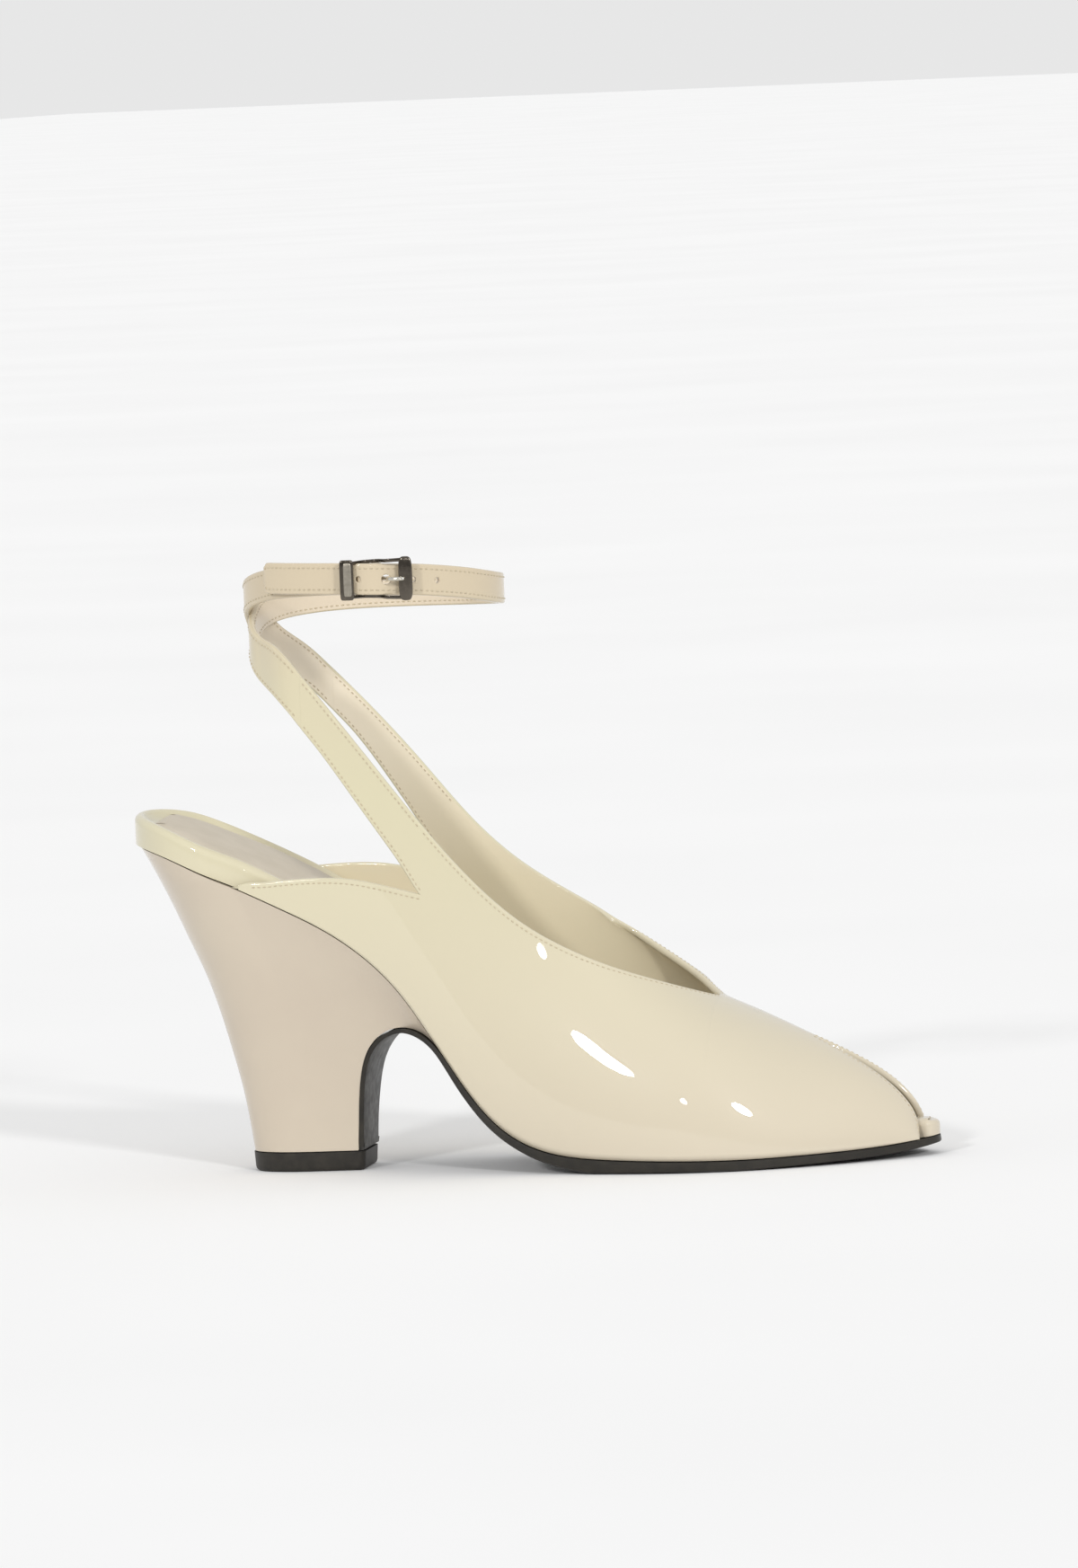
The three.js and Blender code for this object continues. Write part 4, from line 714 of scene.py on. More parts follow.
def strap_columns(columns, count, tip=0):
    """Outer face of a strap: upright columns beside a path round the ankle, narrowed to a round tip."""
    u = np.linspace(0, len(columns["turn"]) - 1, count + 1)
    at = {name: by_row(columns, name)(u) for name in columns}
    path = ankle_point(at["turn"], at["out"])
    ahead = unit(np.gradient(path, axis=0))
    away = np.stack([ahead[:, 1], -ahead[:, 0]], -1)
    away *= np.sign(np.sum(away * (path - [ANKLE_X, 0]), 1))[:, None]
    half = at["tall"] * STRAP_WIDTH / 2
    middle = at["mid"] * HEEL_HEIGHT
    run = np.concatenate([[0], np.cumsum(np.linalg.norm(np.diff(path, axis=0), axis=1))])
    if tip:
        near = np.clip((run - (run[-1] - tip)) / tip, 0, 1)
        half = half - tip * (1 - np.sqrt(np.maximum(0, 1 - near**2)))
    face = path + away * WALL / 2
    z = middle[:, None] + half[:, None] * (2 * STRAP_STEPS - 1)
    sheet = np.concatenate([np.broadcast_to(face[:, None], z.shape + (2,)), z[..., None]], -1)
    return sheet, run


def strap_from_sling(side, columns, count, tip=0):
    """A strap's face that starts as the sling's own surface and eases into the ring round the ankle."""
    ring, run = strap_columns(columns, count, tip)
    ease_long = 14
    near = run < ease_long
    sling = sling_columns(side, share_of(ring[near, 0, 0]))
    w = ease(run[near] / ease_long)[:, None, None]
    ring[near] = sling * (1 - w) + ring[near] * w
    inside = sling_columns(side, share_of(np.linspace(place_of(SLING_END) + 1.2, ring[0, 0, 0] + 0.05, 8)))
    return np.concatenate([inside, ring])


def strap_piece(name, sheet, side_turn, trim=0.03):
    """A strap with rounded edges from its outer face."""
    columns, rows = sheet.shape[:2]
    points = sheet.reshape(-1, 3)
    faces = grid_triangles(columns, rows, 0, side_turn)
    normal = point_normals(points, faces)
    points, faces, inside = shell(points - normal * trim, faces, WALL - 2 * trim, 0.55 - trim, lambda at: at[:, 2] < 0)
    return make_piece(name, points, faces, [FINISH["patent"], FINISH["lining"]], inside)


# ---- stitches ----
def edge_line(grid, side_turn, deep, at_low=False):
    """Line that runs at a given distance inside a grid's upper or lower edge, with its surface normals."""
    if at_low:
        grid = grid[:, ::-1]
    du, dt = np.gradient(grid, axis=0), np.gradient(grid, axis=1)
    normal = unit(np.cross(du, dt))
    if side_turn != at_low:
        normal = -normal
    grid, normal = grid[:, ::-1], normal[:, ::-1]
    run = np.concatenate([np.zeros((len(grid), 1)), np.cumsum(np.linalg.norm(np.diff(grid, axis=1), axis=2), 1)], 1)
    i = np.clip(np.argmax(run > deep, axis=1), 1, grid.shape[1] - 1)
    k = np.arange(len(grid))
    share = np.clip((deep - run[k, i - 1]) / np.maximum(run[k, i] - run[k, i - 1], 1e-9), 0, 1)[:, None]
    line = grid[k, i - 1] * (1 - share) + grid[k, i] * share
    return line, unit(normal[k, i - 1] * (1 - share) + normal[k, i] * share), run[:, -1]


def inner_line(line, normal):
    """The same line on the leather's inner face."""
    return line - normal * WALL, -normal


def stitches(line, normal, pitch=1.55, long=1.1, radius=0.17):
    """Threads along a line: each a small spindle that dips into the leather at both ends."""
    run = np.concatenate([[0], np.cumsum(np.linalg.norm(np.diff(line, axis=0), axis=1))])
    centres = np.arange(pitch, run[-1] - pitch / 2, pitch)
    at = np.stack([np.interp(centres, run, line[:, k]) for k in range(3)], 1)
    up = unit(np.stack([np.interp(centres, run, normal[:, k]) for k in range(3)], 1))
    ahead = np.stack([np.interp(centres + 0.2, run, line[:, k]) for k in range(3)], 1) - at
    ahead = unit(ahead - up * np.sum(ahead * up, 1, keepdims=True))
    across = np.cross(up, ahead)
    rings, sides = 7, 8
    s = np.linspace(-1, 1, rings)
    turn = np.linspace(0, 2 * np.pi, sides, endpoint=False)
    thick = radius * np.sqrt(np.maximum(0, 1 - s**4))
    lift = 0.03 - 0.14 * s**2
    spindle = np.stack([
        np.broadcast_to((s * long / 2)[:, None], (rings, sides)),
        thick[:, None] * np.cos(turn)[None],
        lift[:, None] + 0.8 * thick[:, None] * np.sin(turn)[None],
    ], -1).reshape(-1, 3)
    points = (
        at[:, None] + ahead[:, None] * spindle[None, :, :1]
        + across[:, None] * spindle[None, :, 1:2] + up[:, None] * spindle[None, :, 2:]
    )
    k = np.arange(rings - 1)[:, None] * sides
    j = np.arange(sides)[None]
    a, b = (k + j).ravel(), (k + (j + 1) % sides).ravel()
    one = np.concatenate([np.stack([a, b, b + sides], 1), np.stack([a, b + sides, a + sides], 1)])
    faces = (one[None] + (np.arange(len(centres)) * rings * sides)[:, None, None]).reshape(-1, 3)
    return points.reshape(-1, 3), faces


def stitch_piece(name, lines):
    points, faces, start = [], [], 0
    for line, normal in lines:
        more, cells = stitches(line, normal)
        points.append(more)
        faces.append(cells + start)
        start += len(more)
    return make_piece(name, np.concatenate(points), np.concatenate(faces), [FINISH["thread"]])


# ---- heel, soles and insole ----
HEEL_BACK = natural_spline(HEEL["up"], HEEL["back"] * LENGTH)
HEEL_WIDE = natural_spline(HEEL["up"], HEEL["wide"] * LENGTH)
HEEL_ROUND = 2.2


def heel_back(z):
    return HEEL_BACK(z / HEEL_HEIGHT)


def heel_wide(z):
    return HEEL_WIDE(z / HEEL_HEIGHT)


def heel_half(side, x, z):
    """Half width of the heel: slim at the floor, as wide as the upper's lower edge at the seat."""
    rise = np.clip((z - TOP_PIECE) / (feather(x) - TOP_PIECE), 0, 1.02)
    top = np.maximum(half_width(side, x), 0.25 * BALL_WIDTH)
    foot = BALL_WIDTH * (0.152 - 0.012 * np.maximum(0, x / (0.057 * LENGTH)))
    return foot + (top - foot) * rise**1.65


def heel_y(side, x, z):
    """The heel's side: behind its widest place it closes round the back as a superellipse."""
    back, wide = heel_back(z), heel_wide(z)
    behind = np.clip((wide - x) / (wide - back), 0, 1)
    return side * heel_half(side, np.maximum(x, wide), z) * (1 - behind**HEEL_ROUND) ** (1 / HEEL_ROUND)


SOLE_THICK = natural_spline(SOLE["along"], SOLE["thick"])
FORE = np.arange(0.4, 1.0001, 0.02)
PATH_AT = np.stack([
    np.concatenate([ARCH["forward"] * LENGTH, place_of(FORE)]),
    np.concatenate([ARCH["up"] * HEEL_HEIGHT, feather(place_of(FORE)) - GAP]),
    np.concatenate([ARCH["thick"], SOLE_THICK(FORE)]),
    np.concatenate([ARCH["bevel"], 0.4 + np.maximum(0, SOLE_THICK(FORE) - 2.6)]),
])
PATH_RUN = np.concatenate([[0], np.cumsum(np.hypot(*np.diff(PATH_AT[:2], axis=1)))])
PATH_X, PATH_Z, PATH_THICK, PATH_BEVEL = (natural_spline(PATH_RUN, row) for row in PATH_AT)
PATH_LONG = PATH_RUN[-1]
ARCH_LONG = PATH_RUN[len(ARCH["up"]) - 1]


def path_point(q, away):
    """Point of the sole's top line at run q, moved along its normal."""
    dx, dz = PATH_X(q + 0.01) - PATH_X(q - 0.01), PATH_Z(q + 0.01) - PATH_Z(q - 0.01)
    long = np.hypot(dx, dz)
    return PATH_X(q) - dz / long * away, PATH_Z(q) + dx / long * away


def make_heel():
    """Two mirrored nets of lines from the floor or the arch up to the seat, closed across between them."""
    behind_lines, ahead_lines, rows = 40, 90, 56
    floor = TOP_PIECE + GAP

    def seat(x):
        return feather(x) - SEAT_GAP

    tip = bisect(
        np.array([ARCH_LONG - 3]), np.array([ARCH_LONG + 4]),
        lambda q: path_point(q, GAP)[1] < seat(path_point(q, GAP)[0]),
    )
    tip_x = path_point(tip, GAP)[0]

    def climb(line_x, count):
        low, high = np.full(count, floor), np.full(count, 1.1 * HEEL_HEIGHT)
        return bisect(low, high, lambda z: z < seat(line_x(z)))

    behind = np.cos(np.linspace(0, np.pi / 2, behind_lines + 1))[:-1]
    up = np.linspace(0, 1, rows + 1)

    def back_line(z, share=behind):
        return heel_wide(z) - share * (heel_wide(z) - heel_back(z))

    top = climb(back_line, behind_lines)
    z_back = floor + (top - floor)[:, None] * up
    x_back = heel_wide(z_back) - behind[:, None] * (heel_wide(z_back) - heel_back(z_back))
    seat_z = climb(heel_wide, 1)
    seat_x = heel_wide(seat_z)
    share = np.linspace(0, 1, ahead_lines + 1)
    run = ARCH["forward"][0] * LENGTH - heel_wide(floor)
    way = share * (run + tip)
    on_floor = way < run
    arch_x, arch_z = path_point(np.maximum(0, way - run), GAP)
    foot_x = np.where(on_floor, heel_wide(floor) + way, arch_x)
    foot_z = np.where(on_floor, floor, arch_z)
    top_x = seat_x + (tip_x - seat_x) * share**0.8
    top_z = seat(top_x)
    top_x[-1], top_z[-1] = foot_x[-1], foot_z[-1]
    z_ahead = foot_z[:, None] + (top_z - foot_z)[:, None] * up
    straight = foot_x[:, None] + (top_x - foot_x)[:, None] * up
    plain = heel_wide(floor) + (seat_x - heel_wide(floor)) * (z_ahead - floor) / (seat_z - floor)
    held = (up > 0) & (up < 1)
    x_ahead = straight + (1 - share[:, None]) ** 3 * (heel_wide(z_ahead) - plain) * held
    x, z = np.concatenate([x_back, x_ahead]), np.concatenate([z_back, z_ahead])
    grids = [np.stack([x, heel_y(side, x, z), z], -1) for side in SIDES]
    points, faces = joined_sheet(grids, [False, True])
    lines, size = len(x), rows + 1
    far = lines * size
    low = np.arange(lines - 1) * size
    high = low + rows
    across = [
        np.stack([low, far + low, far + low + size], 1), np.stack([low, far + low + size, low + size], 1),
        np.stack([high, high + size, far + high + size], 1), np.stack([high, far + high + size, far + high], 1),
    ]
    return make_piece("heel_cover", points, np.concatenate([faces, *across]), [FINISH["cover"]], crease=38)


def stacked(name, outer, inner, levels, place, finish, crease=40):
    """A solid between stacked rings.

    outer and inner are the two edges from the back end to the shared front tip; each level is how far its ring
    stands inside the edge, and place lifts ring k to its height. The lowest and highest ring are closed across.
    """
    last = len(outer) - 1
    pointed = abs(outer[0, 1] - inner[0, 1]) < 1e-6
    ring = np.concatenate([outer, inner[last - 1 : 0 if pointed else None : -1]])
    size = len(ring)
    along = unit(np.roll(ring, -1, 0) - np.roll(ring, 1, 0))
    inward = np.stack([-along[:, 1], along[:, 0]], 1)
    points = []
    for k, inset in enumerate(levels):
        moved = ring + inward * np.broadcast_to(inset(ring[:, 0]), size)[:, None]
        points.append(place(moved[:, 0], moved[:, 1], k, ring[:, 0]))
    k, i = np.meshgrid(np.arange(len(levels) - 1) * size, np.arange(size), indexing="ij")
    a, b = (k + i).ravel(), (k + (i + 1) % size).ravel()
    i = np.arange(last)
    other = 2 * last - np.arange(last + 1)
    other[last] = last
    if pointed:
        other[0] = 0
    top = (len(levels) - 1) * size
    faces = np.concatenate([
        np.stack([a, b, b + size], 1), np.stack([a, b + size, a + size], 1),
        np.stack([i, other[i + 1], i + 1], 1), np.stack([i, other[i], other[i + 1]], 1),
        top + np.stack([i, i + 1, other[i + 1]], 1), top + np.stack([i, other[i + 1], other[i]], 1),
    ])
    return make_piece(name, np.concatenate(points), faces, [finish], crease=crease)


def make_outsole():
    """The thin sole from the heel's breast over the arch to the toe, with a bevelled lower edge."""
    back = np.linspace(0, ARCH_LONG, 91)[:-1]
    front = ARCH_LONG + (PATH_LONG - ARCH_LONG) * np.sin(np.linspace(0, np.pi / 2, 161))
    q = np.concatenate([back, front])
    x, z = PATH_X(q), PATH_Z(q)
    share = np.clip((q - ARCH_LONG * 0.8) / (ARCH_LONG * 0.2), 0, 1)
    edges = []
    for side in SIDES:
        low, flat = heel_y(side, x, z), side * half_width(side, x)
        y = low + (flat - low) * share + side * 0.3 * np.minimum(1, (PATH_LONG - q) / 4)
        y[-1] = 0
        edges.append(np.stack([q, y], 1))
    turn = np.linspace(0, np.pi / 2, 6)
    insets = [PATH_BEVEL] + [lambda q, s=s: PATH_BEVEL(q) * 0.15 * s for s in 1 - np.sin(turn)]
    deeps = np.concatenate([[1], 0.86 - 0.86 * np.linspace(0, 1, 6)])
    leasts = np.concatenate([[0], np.linspace(0.5, 2, 6)])

    def place(q, y, k, start):
        at = np.clip(q, 0, PATH_LONG)
        x, z = path_point(at, -PATH_THICK(start) * deeps[k])
        return np.stack([x + q - at, y, np.maximum(z, np.where(at < ARCH_LONG, TOP_PIECE + GAP, leasts[k]))], 1)

    return stacked("outsole_leather", *edges, insets, place, FINISH["sole"])


def make_top_piece():
    """The heel's foot carried down to the floor, with a worn lower edge."""
    z = TOP_PIECE
    back, front = heel_back(z) - 0.2, ARCH["forward"][0] * LENGTH + 1.4
    corner = 2.2
    x = back + (front - back) * round_steps(0, 1, 96)
    ahead = np.maximum(0, x - (front - corner)) / corner
    edges = []
    for side in SIDES:
        at = back + 0.2 + (x - back) * (front - back - 0.2) / (front - back)
        half = np.abs(heel_y(side, at, z)) + 0.25 * np.sqrt(np.minimum(1, x - back))
        half[0] = 0
        edges.append(np.stack([x, side * (half - corner * (1 - np.sqrt(np.maximum(0, 1 - ahead**2))))], 1))
    ups = np.array([0, 0.1, 0.35, 0.75, 1.3, TOP_PIECE])
    insets = [lambda x, d=d: d for d in (1.5, 1.0, 0.6, 0.38, 0.25, 0)]
    return stacked("top_piece_rubber", *edges, insets, lambda x, y, k, start: np.stack([x, y, x * 0 + ups[k]], 1), FINISH["tip"])


BOARD, TUCK, EDGE = (natural_spline(PLAN["along"], PLAN[name]) for name in ("board", "tuck", "edge"))
DISH = 2.2


def dish(x):
    return DISH * np.clip((0.9 - share_of(x)) / 0.3, 0, 1)


def tilt(x, y):
    return y / (0.33 * BALL_WIDTH) * np.clip((0.4 - share_of(x)) / 0.2, 0, 1)


def plan_edges(count, start, end, deep):
    """The outline's two sides, drawn in by deep."""
    along = start + (end - start) * round_steps(0, 1, count)
    edges = []
    for side in SIDES:
        y = side * np.maximum(0.4, half_width(side, place_of(along)) - deep(along))
        y[0] = y[-1] = 0
        edges.append(np.stack([place_of(along), y], 1))
    return edges


def make_insole():
    """The insole board: an upright side, a rounded rim and a shallow dish under the sock."""
    edges = plan_edges(170, 0, 1, lambda along: np.maximum(0, TUCK(along)))
    turn = np.linspace(0, np.pi / 2, 10)
    across = np.concatenate([[0, 0], 0.95 * (1 - np.cos(turn)), [1.15, 1.6]])
    share = np.concatenate([[0, 0.3], np.full(12, 1.0)])
    below = np.concatenate([[0, 0], 0.95 * (1 - np.sin(turn)), [0, 0]])
    sink = np.concatenate([np.zeros(12), [0.35, 1]])
    insets = [lambda x, a=a: EDGE(share_of(x)) * a for a in across]

    def place(x, y, k, start):
        at = np.clip(x, SEAT_BACK, SEAT_BACK + LENGTH)
        up = BOARD(share_of(start)) * share[k] - EDGE(share_of(start)) * below[k] - dish(start) * sink[k]
        return np.stack([x, y, feather(at) + up + np.where(up > 1, tilt(x, y), 0)], 1)

    return stacked("insole_cover", *edges, insets, place, FINISH["patent"], crease=60)


def make_sock():
    """The sock lining: a thin pad with a soft edge."""
    edges = plan_edges(150, 0.032, 0.955, lambda along: 6.9 + 6 * np.maximum(0, along - 0.8))
    turn = np.linspace(0, np.pi / 2, 6)
    deep = np.concatenate([[0.3], 0.5 * (1 - np.cos(turn)), [1.2, 2, 3]])
    ups = np.concatenate([[0.3], 0.7 + 0.6 * np.sin(turn), [1.55, 1.75, 1.9]])
    insets = [lambda x, d=d: d for d in deep]

    def place(x, y, k, start):
        return np.stack([x, y, feather(x) + BOARD(share_of(x)) - dish(x) + tilt(x, y) + ups[k]], 1)

    return stacked("sock_leather", *edges, insets, place, FINISH["sock"], crease=60)


# ---- buckle ----
HINGE_FOOT = ankle_point(BUCKLE_TURN, 0)
T = unit(ankle_point(BUCKLE_TURN + 1, 0) - HINGE_FOOT)
N = np.array([T[1], -T[0]])


def in_buckle(local):
    """Points along the strap, away from the foot and up, set at the buckle's hinge."""
    plan = HINGE_FOOT + local[..., :1] * T + local[..., 1:2] * N
    return np.concatenate([plan, BUCKLE_UP + local[..., 2:]], -1)


def power(value, exponent):
    return np.sign(value) * np.abs(value) ** exponent


def rounded_block(centre, size, soft, count=28):
    """Superellipsoid: cosines and sines of two turns, each raised to the power soft, scaled to the size."""
    v, u = np.linspace(-np.pi / 2, np.pi / 2, count)[:, None], np.linspace(-np.pi, np.pi, 2 * count)[None]
    v, u = np.round(v, 12), np.round(u, 12)
    flat = power(np.cos(v), soft)
    grid = np.stack([flat * power(np.cos(u), soft), flat * power(np.sin(u), soft), power(np.sin(v), soft) + 0 * u], -1)
    grid[:, -1] = grid[:, 0]
    grid[0, :, :2] = grid[-1, :, :2] = 0
    points = (np.array(centre) + grid * np.array(size) / 2).reshape(-1, 3)
    return points, grid_triangles(count, 2 * count)


def tube(path, radii, sides=16):
    """Round section carried along a path in an upright plane of the buckle; the ends close to points."""
    path = np.array(path, float)
    ahead = unit(np.gradient(path, axis=0))
    up = np.broadcast_to([0, 0, 1.0], path.shape)
    out = unit(np.cross(ahead, up))
    turn = np.linspace(0, 2 * np.pi, sides + 1)
    radii = np.asarray(radii, float)
    rings = radii[:, None, None] * (np.cos(turn)[None, :, None] * up[:, None] + np.sin(turn)[None, :, None] * out[:, None])
    return (path[:, None] + rings).reshape(-1, 3), grid_triangles(len(path), sides + 1)


def buckle_piece(name, parts, finishes):
    """A piece from closed parts, each with its own finish of the list."""
    points = np.concatenate([part[0] for part in parts])
    starts = np.cumsum([0] + [len(part[0]) for part in parts[:-1]])
    faces = np.concatenate([part[1] + start for part, start in zip(parts, starts)])
    finish_of = np.repeat(np.minimum(np.arange(len(parts)), len(finishes) - 1), [len(part[1]) for part in parts])
    return make_piece(name, in_buckle(points), faces, finishes, finish_of, crease=50)


def outward_part(part):
    """A closed part with its faces turned outward."""
    corner = part[0][part[1]]
    volume = np.einsum("ij,ij->", corner[:, 0], np.cross(corner[:, 1], corner[:, 2]))
    return (part[0], part[1][:, ::-1]) if volume < 0 else part


def make_frame():
    """Two upright bars joined by two rails that dip to the hinge with exp(-(t / 3.6)^4)."""
    back, front = FRAME_BACK + BAR_WIDE / 2, FRAME_FRONT - BAR_WIDE / 2
    parts = [
        rounded_block((back + 0.25, BAR_OUT + 0.14, 0.1), (BAR_WIDE - 1.5, BAR_THICK, FRAME_TALL - 2.6), 0.3),
        rounded_block((back, BAR_OUT, 0), (BAR_WIDE, BAR_THICK, FRAME_TALL - 1), 0.24),
        rounded_block((front, BAR_OUT, 0), (BAR_WIDE, BAR_THICK, FRAME_TALL), 0.5),
    ]
    middle, half = (FRAME_FRONT + FRAME_BACK) / 2, (FRAME_FRONT - FRAME_BACK) / 2 - BAR_WIDE * 0.4
    t = middle + half * np.linspace(-1, 1, 61)
    dip = np.exp(-((t / 3.6) ** 4)) * (BAR_OUT - HINGE_OUT)
    turn = np.linspace(0, 2 * np.pi, 25)
    ring = 0.5 * np.stack([power(np.cos(turn), 0.5), power(np.sin(turn), 0.5)], -1)
    ring[-1] = ring[0]
    close = np.concatenate([[0], np.ones(len(t)), [0]])
    path = np.pad(np.stack([t, BAR_OUT - dip], 1), ((1, 1), (0, 0)), mode="edge")
    t_share = np.pad(np.linspace(-1, 1, len(t)), 1, mode="edge")
    for side in (-1, 1):
        height = side * (FRAME_TALL / 2 - 1.15 + 0.35 * t_share[:, None])
        grid = np.stack([
            np.broadcast_to(path[:, :1], (len(path), len(ring))),
            path[:, 1:] + close[:, None] * ring[None, :, 0],
            height + close[:, None] * ring[None, :, 1],
        ], -1)
        parts.append((grid.reshape(-1, 3), grid_triangles(*grid.shape[:2])))
    return buckle_piece("buckle_frame_metal", [outward_part(part) for part in parts], [FINISH["plate"], FINISH["metal"]])


def make_bar():
    """The hinge bar between the rails."""
    z = (FRAME_TALL / 2 - 1.3 - GAP) * np.array([-1, -1, -0.94, 0, 0.94, 1, 1])
    turn = np.linspace(0, 2 * np.pi, 25)
    radii = HINGE_RADIUS * np.array([0, 0.8, 1, 1, 1, 0.8, 0])
    grid = np.stack([
        radii[:, None] * np.cos(turn), HINGE_OUT + radii[:, None] * np.sin(turn), z[:, None] + 0 * turn,
    ], -1)
    return buckle_piece("buckle_bar_metal", [(grid.reshape(-1, 3), grid_triangles(*grid.shape[:2]))], [FINISH["bright"]])


def make_prong():
    """A pin from its ring on the hinge bar, through the strap's hole and onto the front bar."""
    ts = np.array([1.05, 2.6, 3.6, 4.3, 4.9, 5.6, 6.8, 9.8])
    ns = np.array([0.9, 1.05, 1.6, 3, 5, 6.4, 7, 7.1])
    run = np.concatenate([[0], np.cumsum(np.hypot(np.diff(ts), np.diff(ns)))])
    s = np.linspace(0, run[-1], 90)
    path = np.stack([natural_spline(run, ts)(s), natural_spline(run, ns)(s), 0 * s], 1)
    radii = 0.56 * np.sqrt(np.clip(1 - np.clip((s - run[-1] + 0.6) / 0.6, 0, 1) ** 2, 0, 1))
    radii[0] = 0
    angle = np.linspace(0, 2 * np.pi, 49)
    section = np.linspace(0, 2 * np.pi, 17)
    ring_wide, ring_thick = 1.075, 0.275
    wide = ring_wide + ring_thick * np.cos(section)[None]
    grid = np.stack([
        wide * np.cos(angle)[:, None], HINGE_OUT + wide * np.sin(angle)[:, None],
        0.9 * power(np.sin(section), 0.6)[None] + 0 * angle[:, None],
    ], -1)
    grid[-1], grid[:, -1] = grid[0], grid[:, 0]
    parts = [tube(path, radii), (grid.reshape(-1, 3), grid_triangles(*grid.shape[:2]))]
    return buckle_piece("buckle_prong_metal", [outward_part(part) for part in parts], [FINISH["bright"]])


def loop_columns():
    """End of the short strap: round the hinge bar and back along its own inside."""
    radius = HINGE_RADIUS + 0.7
    angle = np.linspace(-np.pi / 2, np.pi / 2, 25)
    t = np.concatenate([np.cos(angle) * radius, np.linspace(0, -3, 10)[1:]])
    n = np.concatenate([HINGE_OUT + np.sin(angle) * radius, np.full(9, HINGE_OUT + radius)])
    half = STRAP_WIDTH / 2
    z = half * (2 * STRAP_STEPS - 1)
    local = np.stack([
        np.broadcast_to(t[:, None], (len(t), len(z))), np.broadcast_to(n[:, None], (len(t), len(z))),
        np.broadcast_to(z[None], (len(t), len(z))),
    ], -1)
    return in_buckle(local)


def cut_through(piece, cutters):
    """Cuts the cutters' holes through a piece and keeps the result as its mesh."""
    for cutter in cutters:
        step = piece.modifiers.new("hole", "BOOLEAN")
        step.operation, step.solver, step.object = "DIFFERENCE", "EXACT", cutter
    bpy.context.view_layer.update()
    done = bpy.data.meshes.new_from_object(piece.evaluated_get(bpy.context.evaluated_depsgraph_get()))
    piece.modifiers.clear()
    piece.data = done
    for cutter in cutters:
        bpy.data.objects.remove(cutter)


def hole_rod(centre, turn, radius, long=12, sides=40):
    """A rod across the strap, closed at both ends."""
    angle = math.radians(turn)
    out = np.array([math.cos(angle), math.sin(angle), 0])
    side = np.array([-math.sin(angle), math.cos(angle), 0])
    round_ = np.linspace(0, 2 * np.pi, sides + 1)
    reach = np.array([-1, -1, 1, 1]) * long / 2
    radii = np.array([0, radius, radius, 0])
    points = (
        np.array(centre) + reach[:, None, None] * out
        + radii[:, None, None] * (np.cos(round_)[None, :, None] * side + np.sin(round_)[None, :, None] * [0, 0, 1.0])
    )
    return make_piece("rod", points.reshape(-1, 3), grid_triangles(4, sides + 1), [FINISH["lining"]])


def strap_holes():
    """Places, turns and radii of the buckle holes along the long strap."""
    steps = np.arange(-1, 3)
    turn = BUCKLE_TURN + (PRONG_AT + steps * HOLE_PITCH) * DEGREES_PER_MM
    rows = np.linspace(0, len(LONG_STRAP["turn"]) - 1, 4001)
    turns = by_row(LONG_STRAP, "turn")(rows)
    row = np.interp(-turn, -turns, rows)
    places = ankle_point(turn, by_row(LONG_STRAP, "out")(row))
    z = by_row(LONG_STRAP, "mid")(row) * HEEL_HEIGHT
    return np.concatenate([places, z[:, None]], 1), turn, np.where(steps == 0, HOLE_RADIUS, HOLE_RADIUS * 0.62)


# ---- camera, light and floor ----
CAMERA_TURN = math.radians(10.3)
CAMERA_FAR = 3.0
CAMERA_HIGH = 0.315
CAMERA_ROLL = math.radians(2.4)
AIM = Vector((0.066, 0, 0.1045))
PIXELS_PER_METRE = 4050
PICTURE_TALL = 1745
SKY_WAY = (0, 0.7, 0.7)
SKY_FRONT = 0.22
SKY_BACK = 0.8
BOXES = ((35, 22.5, 6.5, 0.33), (-19, 24, 5.5, 0.28), (3, 17.5, 3.6, 0.02))


def make_camera():
    place = AIM + Vector((math.sin(CAMERA_TURN), -math.cos(CAMERA_TURN), 0)) * CAMERA_FAR
    place.z = CAMERA_HIGH
    ahead = (AIM - place).normalized()
    right = ahead.cross(Vector((0, 0, 1))).normalized()
    up = right.cross(ahead)
    turned = right * math.cos(CAMERA_ROLL) - up * math.sin(CAMERA_ROLL)
    raised = right * math.sin(CAMERA_ROLL) + up * math.cos(CAMERA_ROLL)
    data = bpy.data.cameras.new("camera")
    data.sensor_fit = "VERTICAL"
    data.sensor_height = 36
    focal = PIXELS_PER_METRE * (AIM - place).length
    data.lens = 36 * focal / PICTURE_TALL
    data.clip_end = 50
    camera = bpy.data.objects.new("camera", data)
    scene.collection.objects.link(camera)
    axes = Matrix((turned, raised, -ahead)).transposed()
    camera.matrix_world = Matrix.Translation(place) @ axes.to_4x4()
    scene.camera = camera


def far_box(name, azimuth, height, wide, share):
    """A soft box far off: where it stands (degrees right of the front, degrees up), how wide it looks and its share."""
    data = bpy.data.lights.new(name, "SUN")
    data.angle = math.radians(wide)
    data.energy = share * math.pi
    light = bpy.data.objects.new(name, data)
    scene.collection.objects.link(light)
    across, up = math.radians(azimuth), math.radians(height)
    way = Vector((math.cos(up) * math.sin(across), -math.cos(up) * math.cos(across), math.sin(up)))
    light.rotation_euler = way.to_track_quat("Z", "Y").to_euler()


def make_floor():
    """Pale paper that runs flat to the back."""
    x, y = np.linspace(-9000, 9000, 31), np.linspace(-4000, 40000, 61)
    grid = np.stack([*np.meshgrid(x, y, indexing="ij"), np.zeros((31, 61))], -1)
    points, faces = grid.reshape(-1, 3), grid_triangles(31, 61)
    make_piece("studio_floor", points, faces[:, ::-1], [FINISH["paper"]])


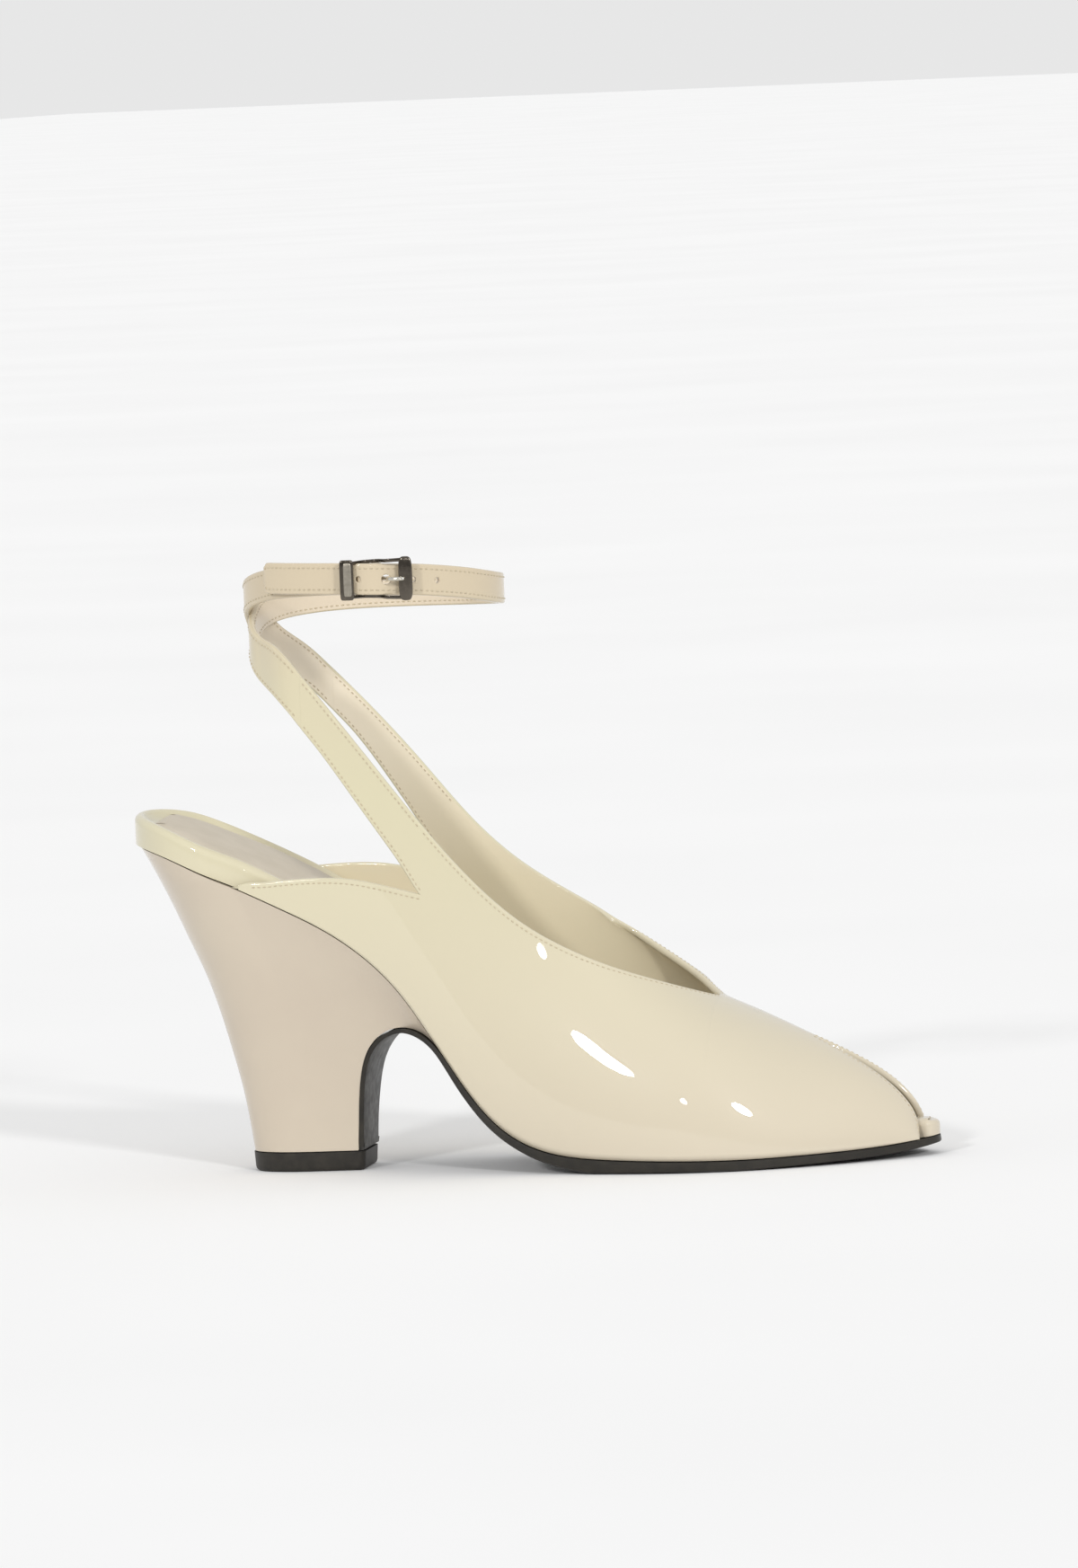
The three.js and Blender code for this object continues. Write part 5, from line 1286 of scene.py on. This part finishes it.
def make_light():
    """Soft boxes in front, to the right and to the left, and a sky that is brightest above and behind."""
    world = bpy.data.worlds.new("studio")
    scene.world = world
    world.use_nodes = True
    tree = world.node_tree
    along = tree.nodes.new("ShaderNodeVectorMath")
    along.operation = "DOT_PRODUCT"
    along.inputs[1].default_value = SKY_WAY
    tree.links.new(tree.nodes.new("ShaderNodeTexCoord").outputs["Generated"], along.inputs[0])
    span = tree.nodes.new("ShaderNodeMapRange")
    span.interpolation_type = "SMOOTHSTEP"
    span.inputs["From Min"].default_value, span.inputs["From Max"].default_value = -0.9, 0.3
    span.inputs["To Min"].default_value, span.inputs["To Max"].default_value = SKY_FRONT, SKY_BACK
    tree.links.new(along.outputs["Value"], span.inputs["Value"])
    tree.links.new(span.outputs["Result"], tree.nodes["Background"].inputs["Strength"])
    tree.nodes["Background"].inputs["Color"].default_value = (1, 1, 1, 1)
    for number, box in enumerate(BOXES):
        far_box(f"soft box {number}", *box)
    scene.view_settings.view_transform = "Standard"


# ---- putting the pump together ----
make_camera()
make_light()
make_floor()

upper, grids = make_upper()
long_sheet = strap_from_sling(-1, LONG_STRAP, 420, tip=0.9)
short_sheet = np.concatenate([strap_from_sling(1, SHORT_STRAP, 220), loop_columns()[1:]])
ankle_strap = strap_piece("ankle_strap_leather", long_sheet, True)
buckle_strap = strap_piece("buckle_strap_leather", short_sheet, False)
cut_through(ankle_strap, [hole_rod(*hole) for hole in zip(*strap_holes())])
heel, outsole, top_piece = make_heel(), make_outsole(), make_top_piece()
insole, sock = make_insole(), make_sock()
buckle_frame, buckle_bar, buckle_prong = make_frame(), make_bar(), make_prong()

lines = []
for side, (main, tail, sling) in grids.items():
    turn = side > 0
    for grid, at_low, both in ((main[:150], False, False), (tail, False, False), (sling, False, True), (sling, True, True)):
        line, normal, tall = edge_line(grid, turn, 0.85, at_low)
        keep = tall > 2.4
        lines.append((line[keep], normal[keep]))
        if both:
            lines.append(inner_line(line[keep], normal[keep]))
    slit = main[176:]
    line, normal, tall = edge_line(slit, turn, 1.0)
    lines.append((line[tall > 2.4], normal[tall > 2.4]))
upper_stitches = stitch_piece("upper_stitches", lines)
long_lines = [edge_line(long_sheet[9:], True, 0.85, low)[:2] for low in (False, True)]
short_lines = [edge_line(short_sheet[9:222], False, 0.85, low)[:2] for low in (False, True)]
long_lines += [inner_line(*line) for line in long_lines]
short_lines += [inner_line(*line) for line in short_lines]
long_stitches = stitch_piece("ankle_strap_stitches", long_lines)
short_stitches = stitch_piece("buckle_strap_stitches", short_lines)

STANDS_FOR = (
    (upper, "upper", "patent_cream"),
    (ankle_strap, "ankle_strap", "patent_cream"),
    (buckle_strap, "buckle_strap", "patent_cream"),
    (heel, "heel", "heel_cream"),
    (insole, "insole", "heel_cream"),
    (sock, "sock_lining", "lining_tan"),
    (outsole, "outsole", "sole_black"),
    (top_piece, "top_piece", "heel_tip_black"),
    (buckle_frame, "buckle_frame", "buckle_metal"),
    (buckle_bar, "buckle_bar", "buckle_metal"),
    (buckle_prong, "buckle_prong", "buckle_metal"),
)
for piece, node, slot in STANDS_FOR:
    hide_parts(node)
for piece in [row[0] for row in STANDS_FOR] + [upper_stitches, long_stitches, short_stitches]:
    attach(piece, "root")
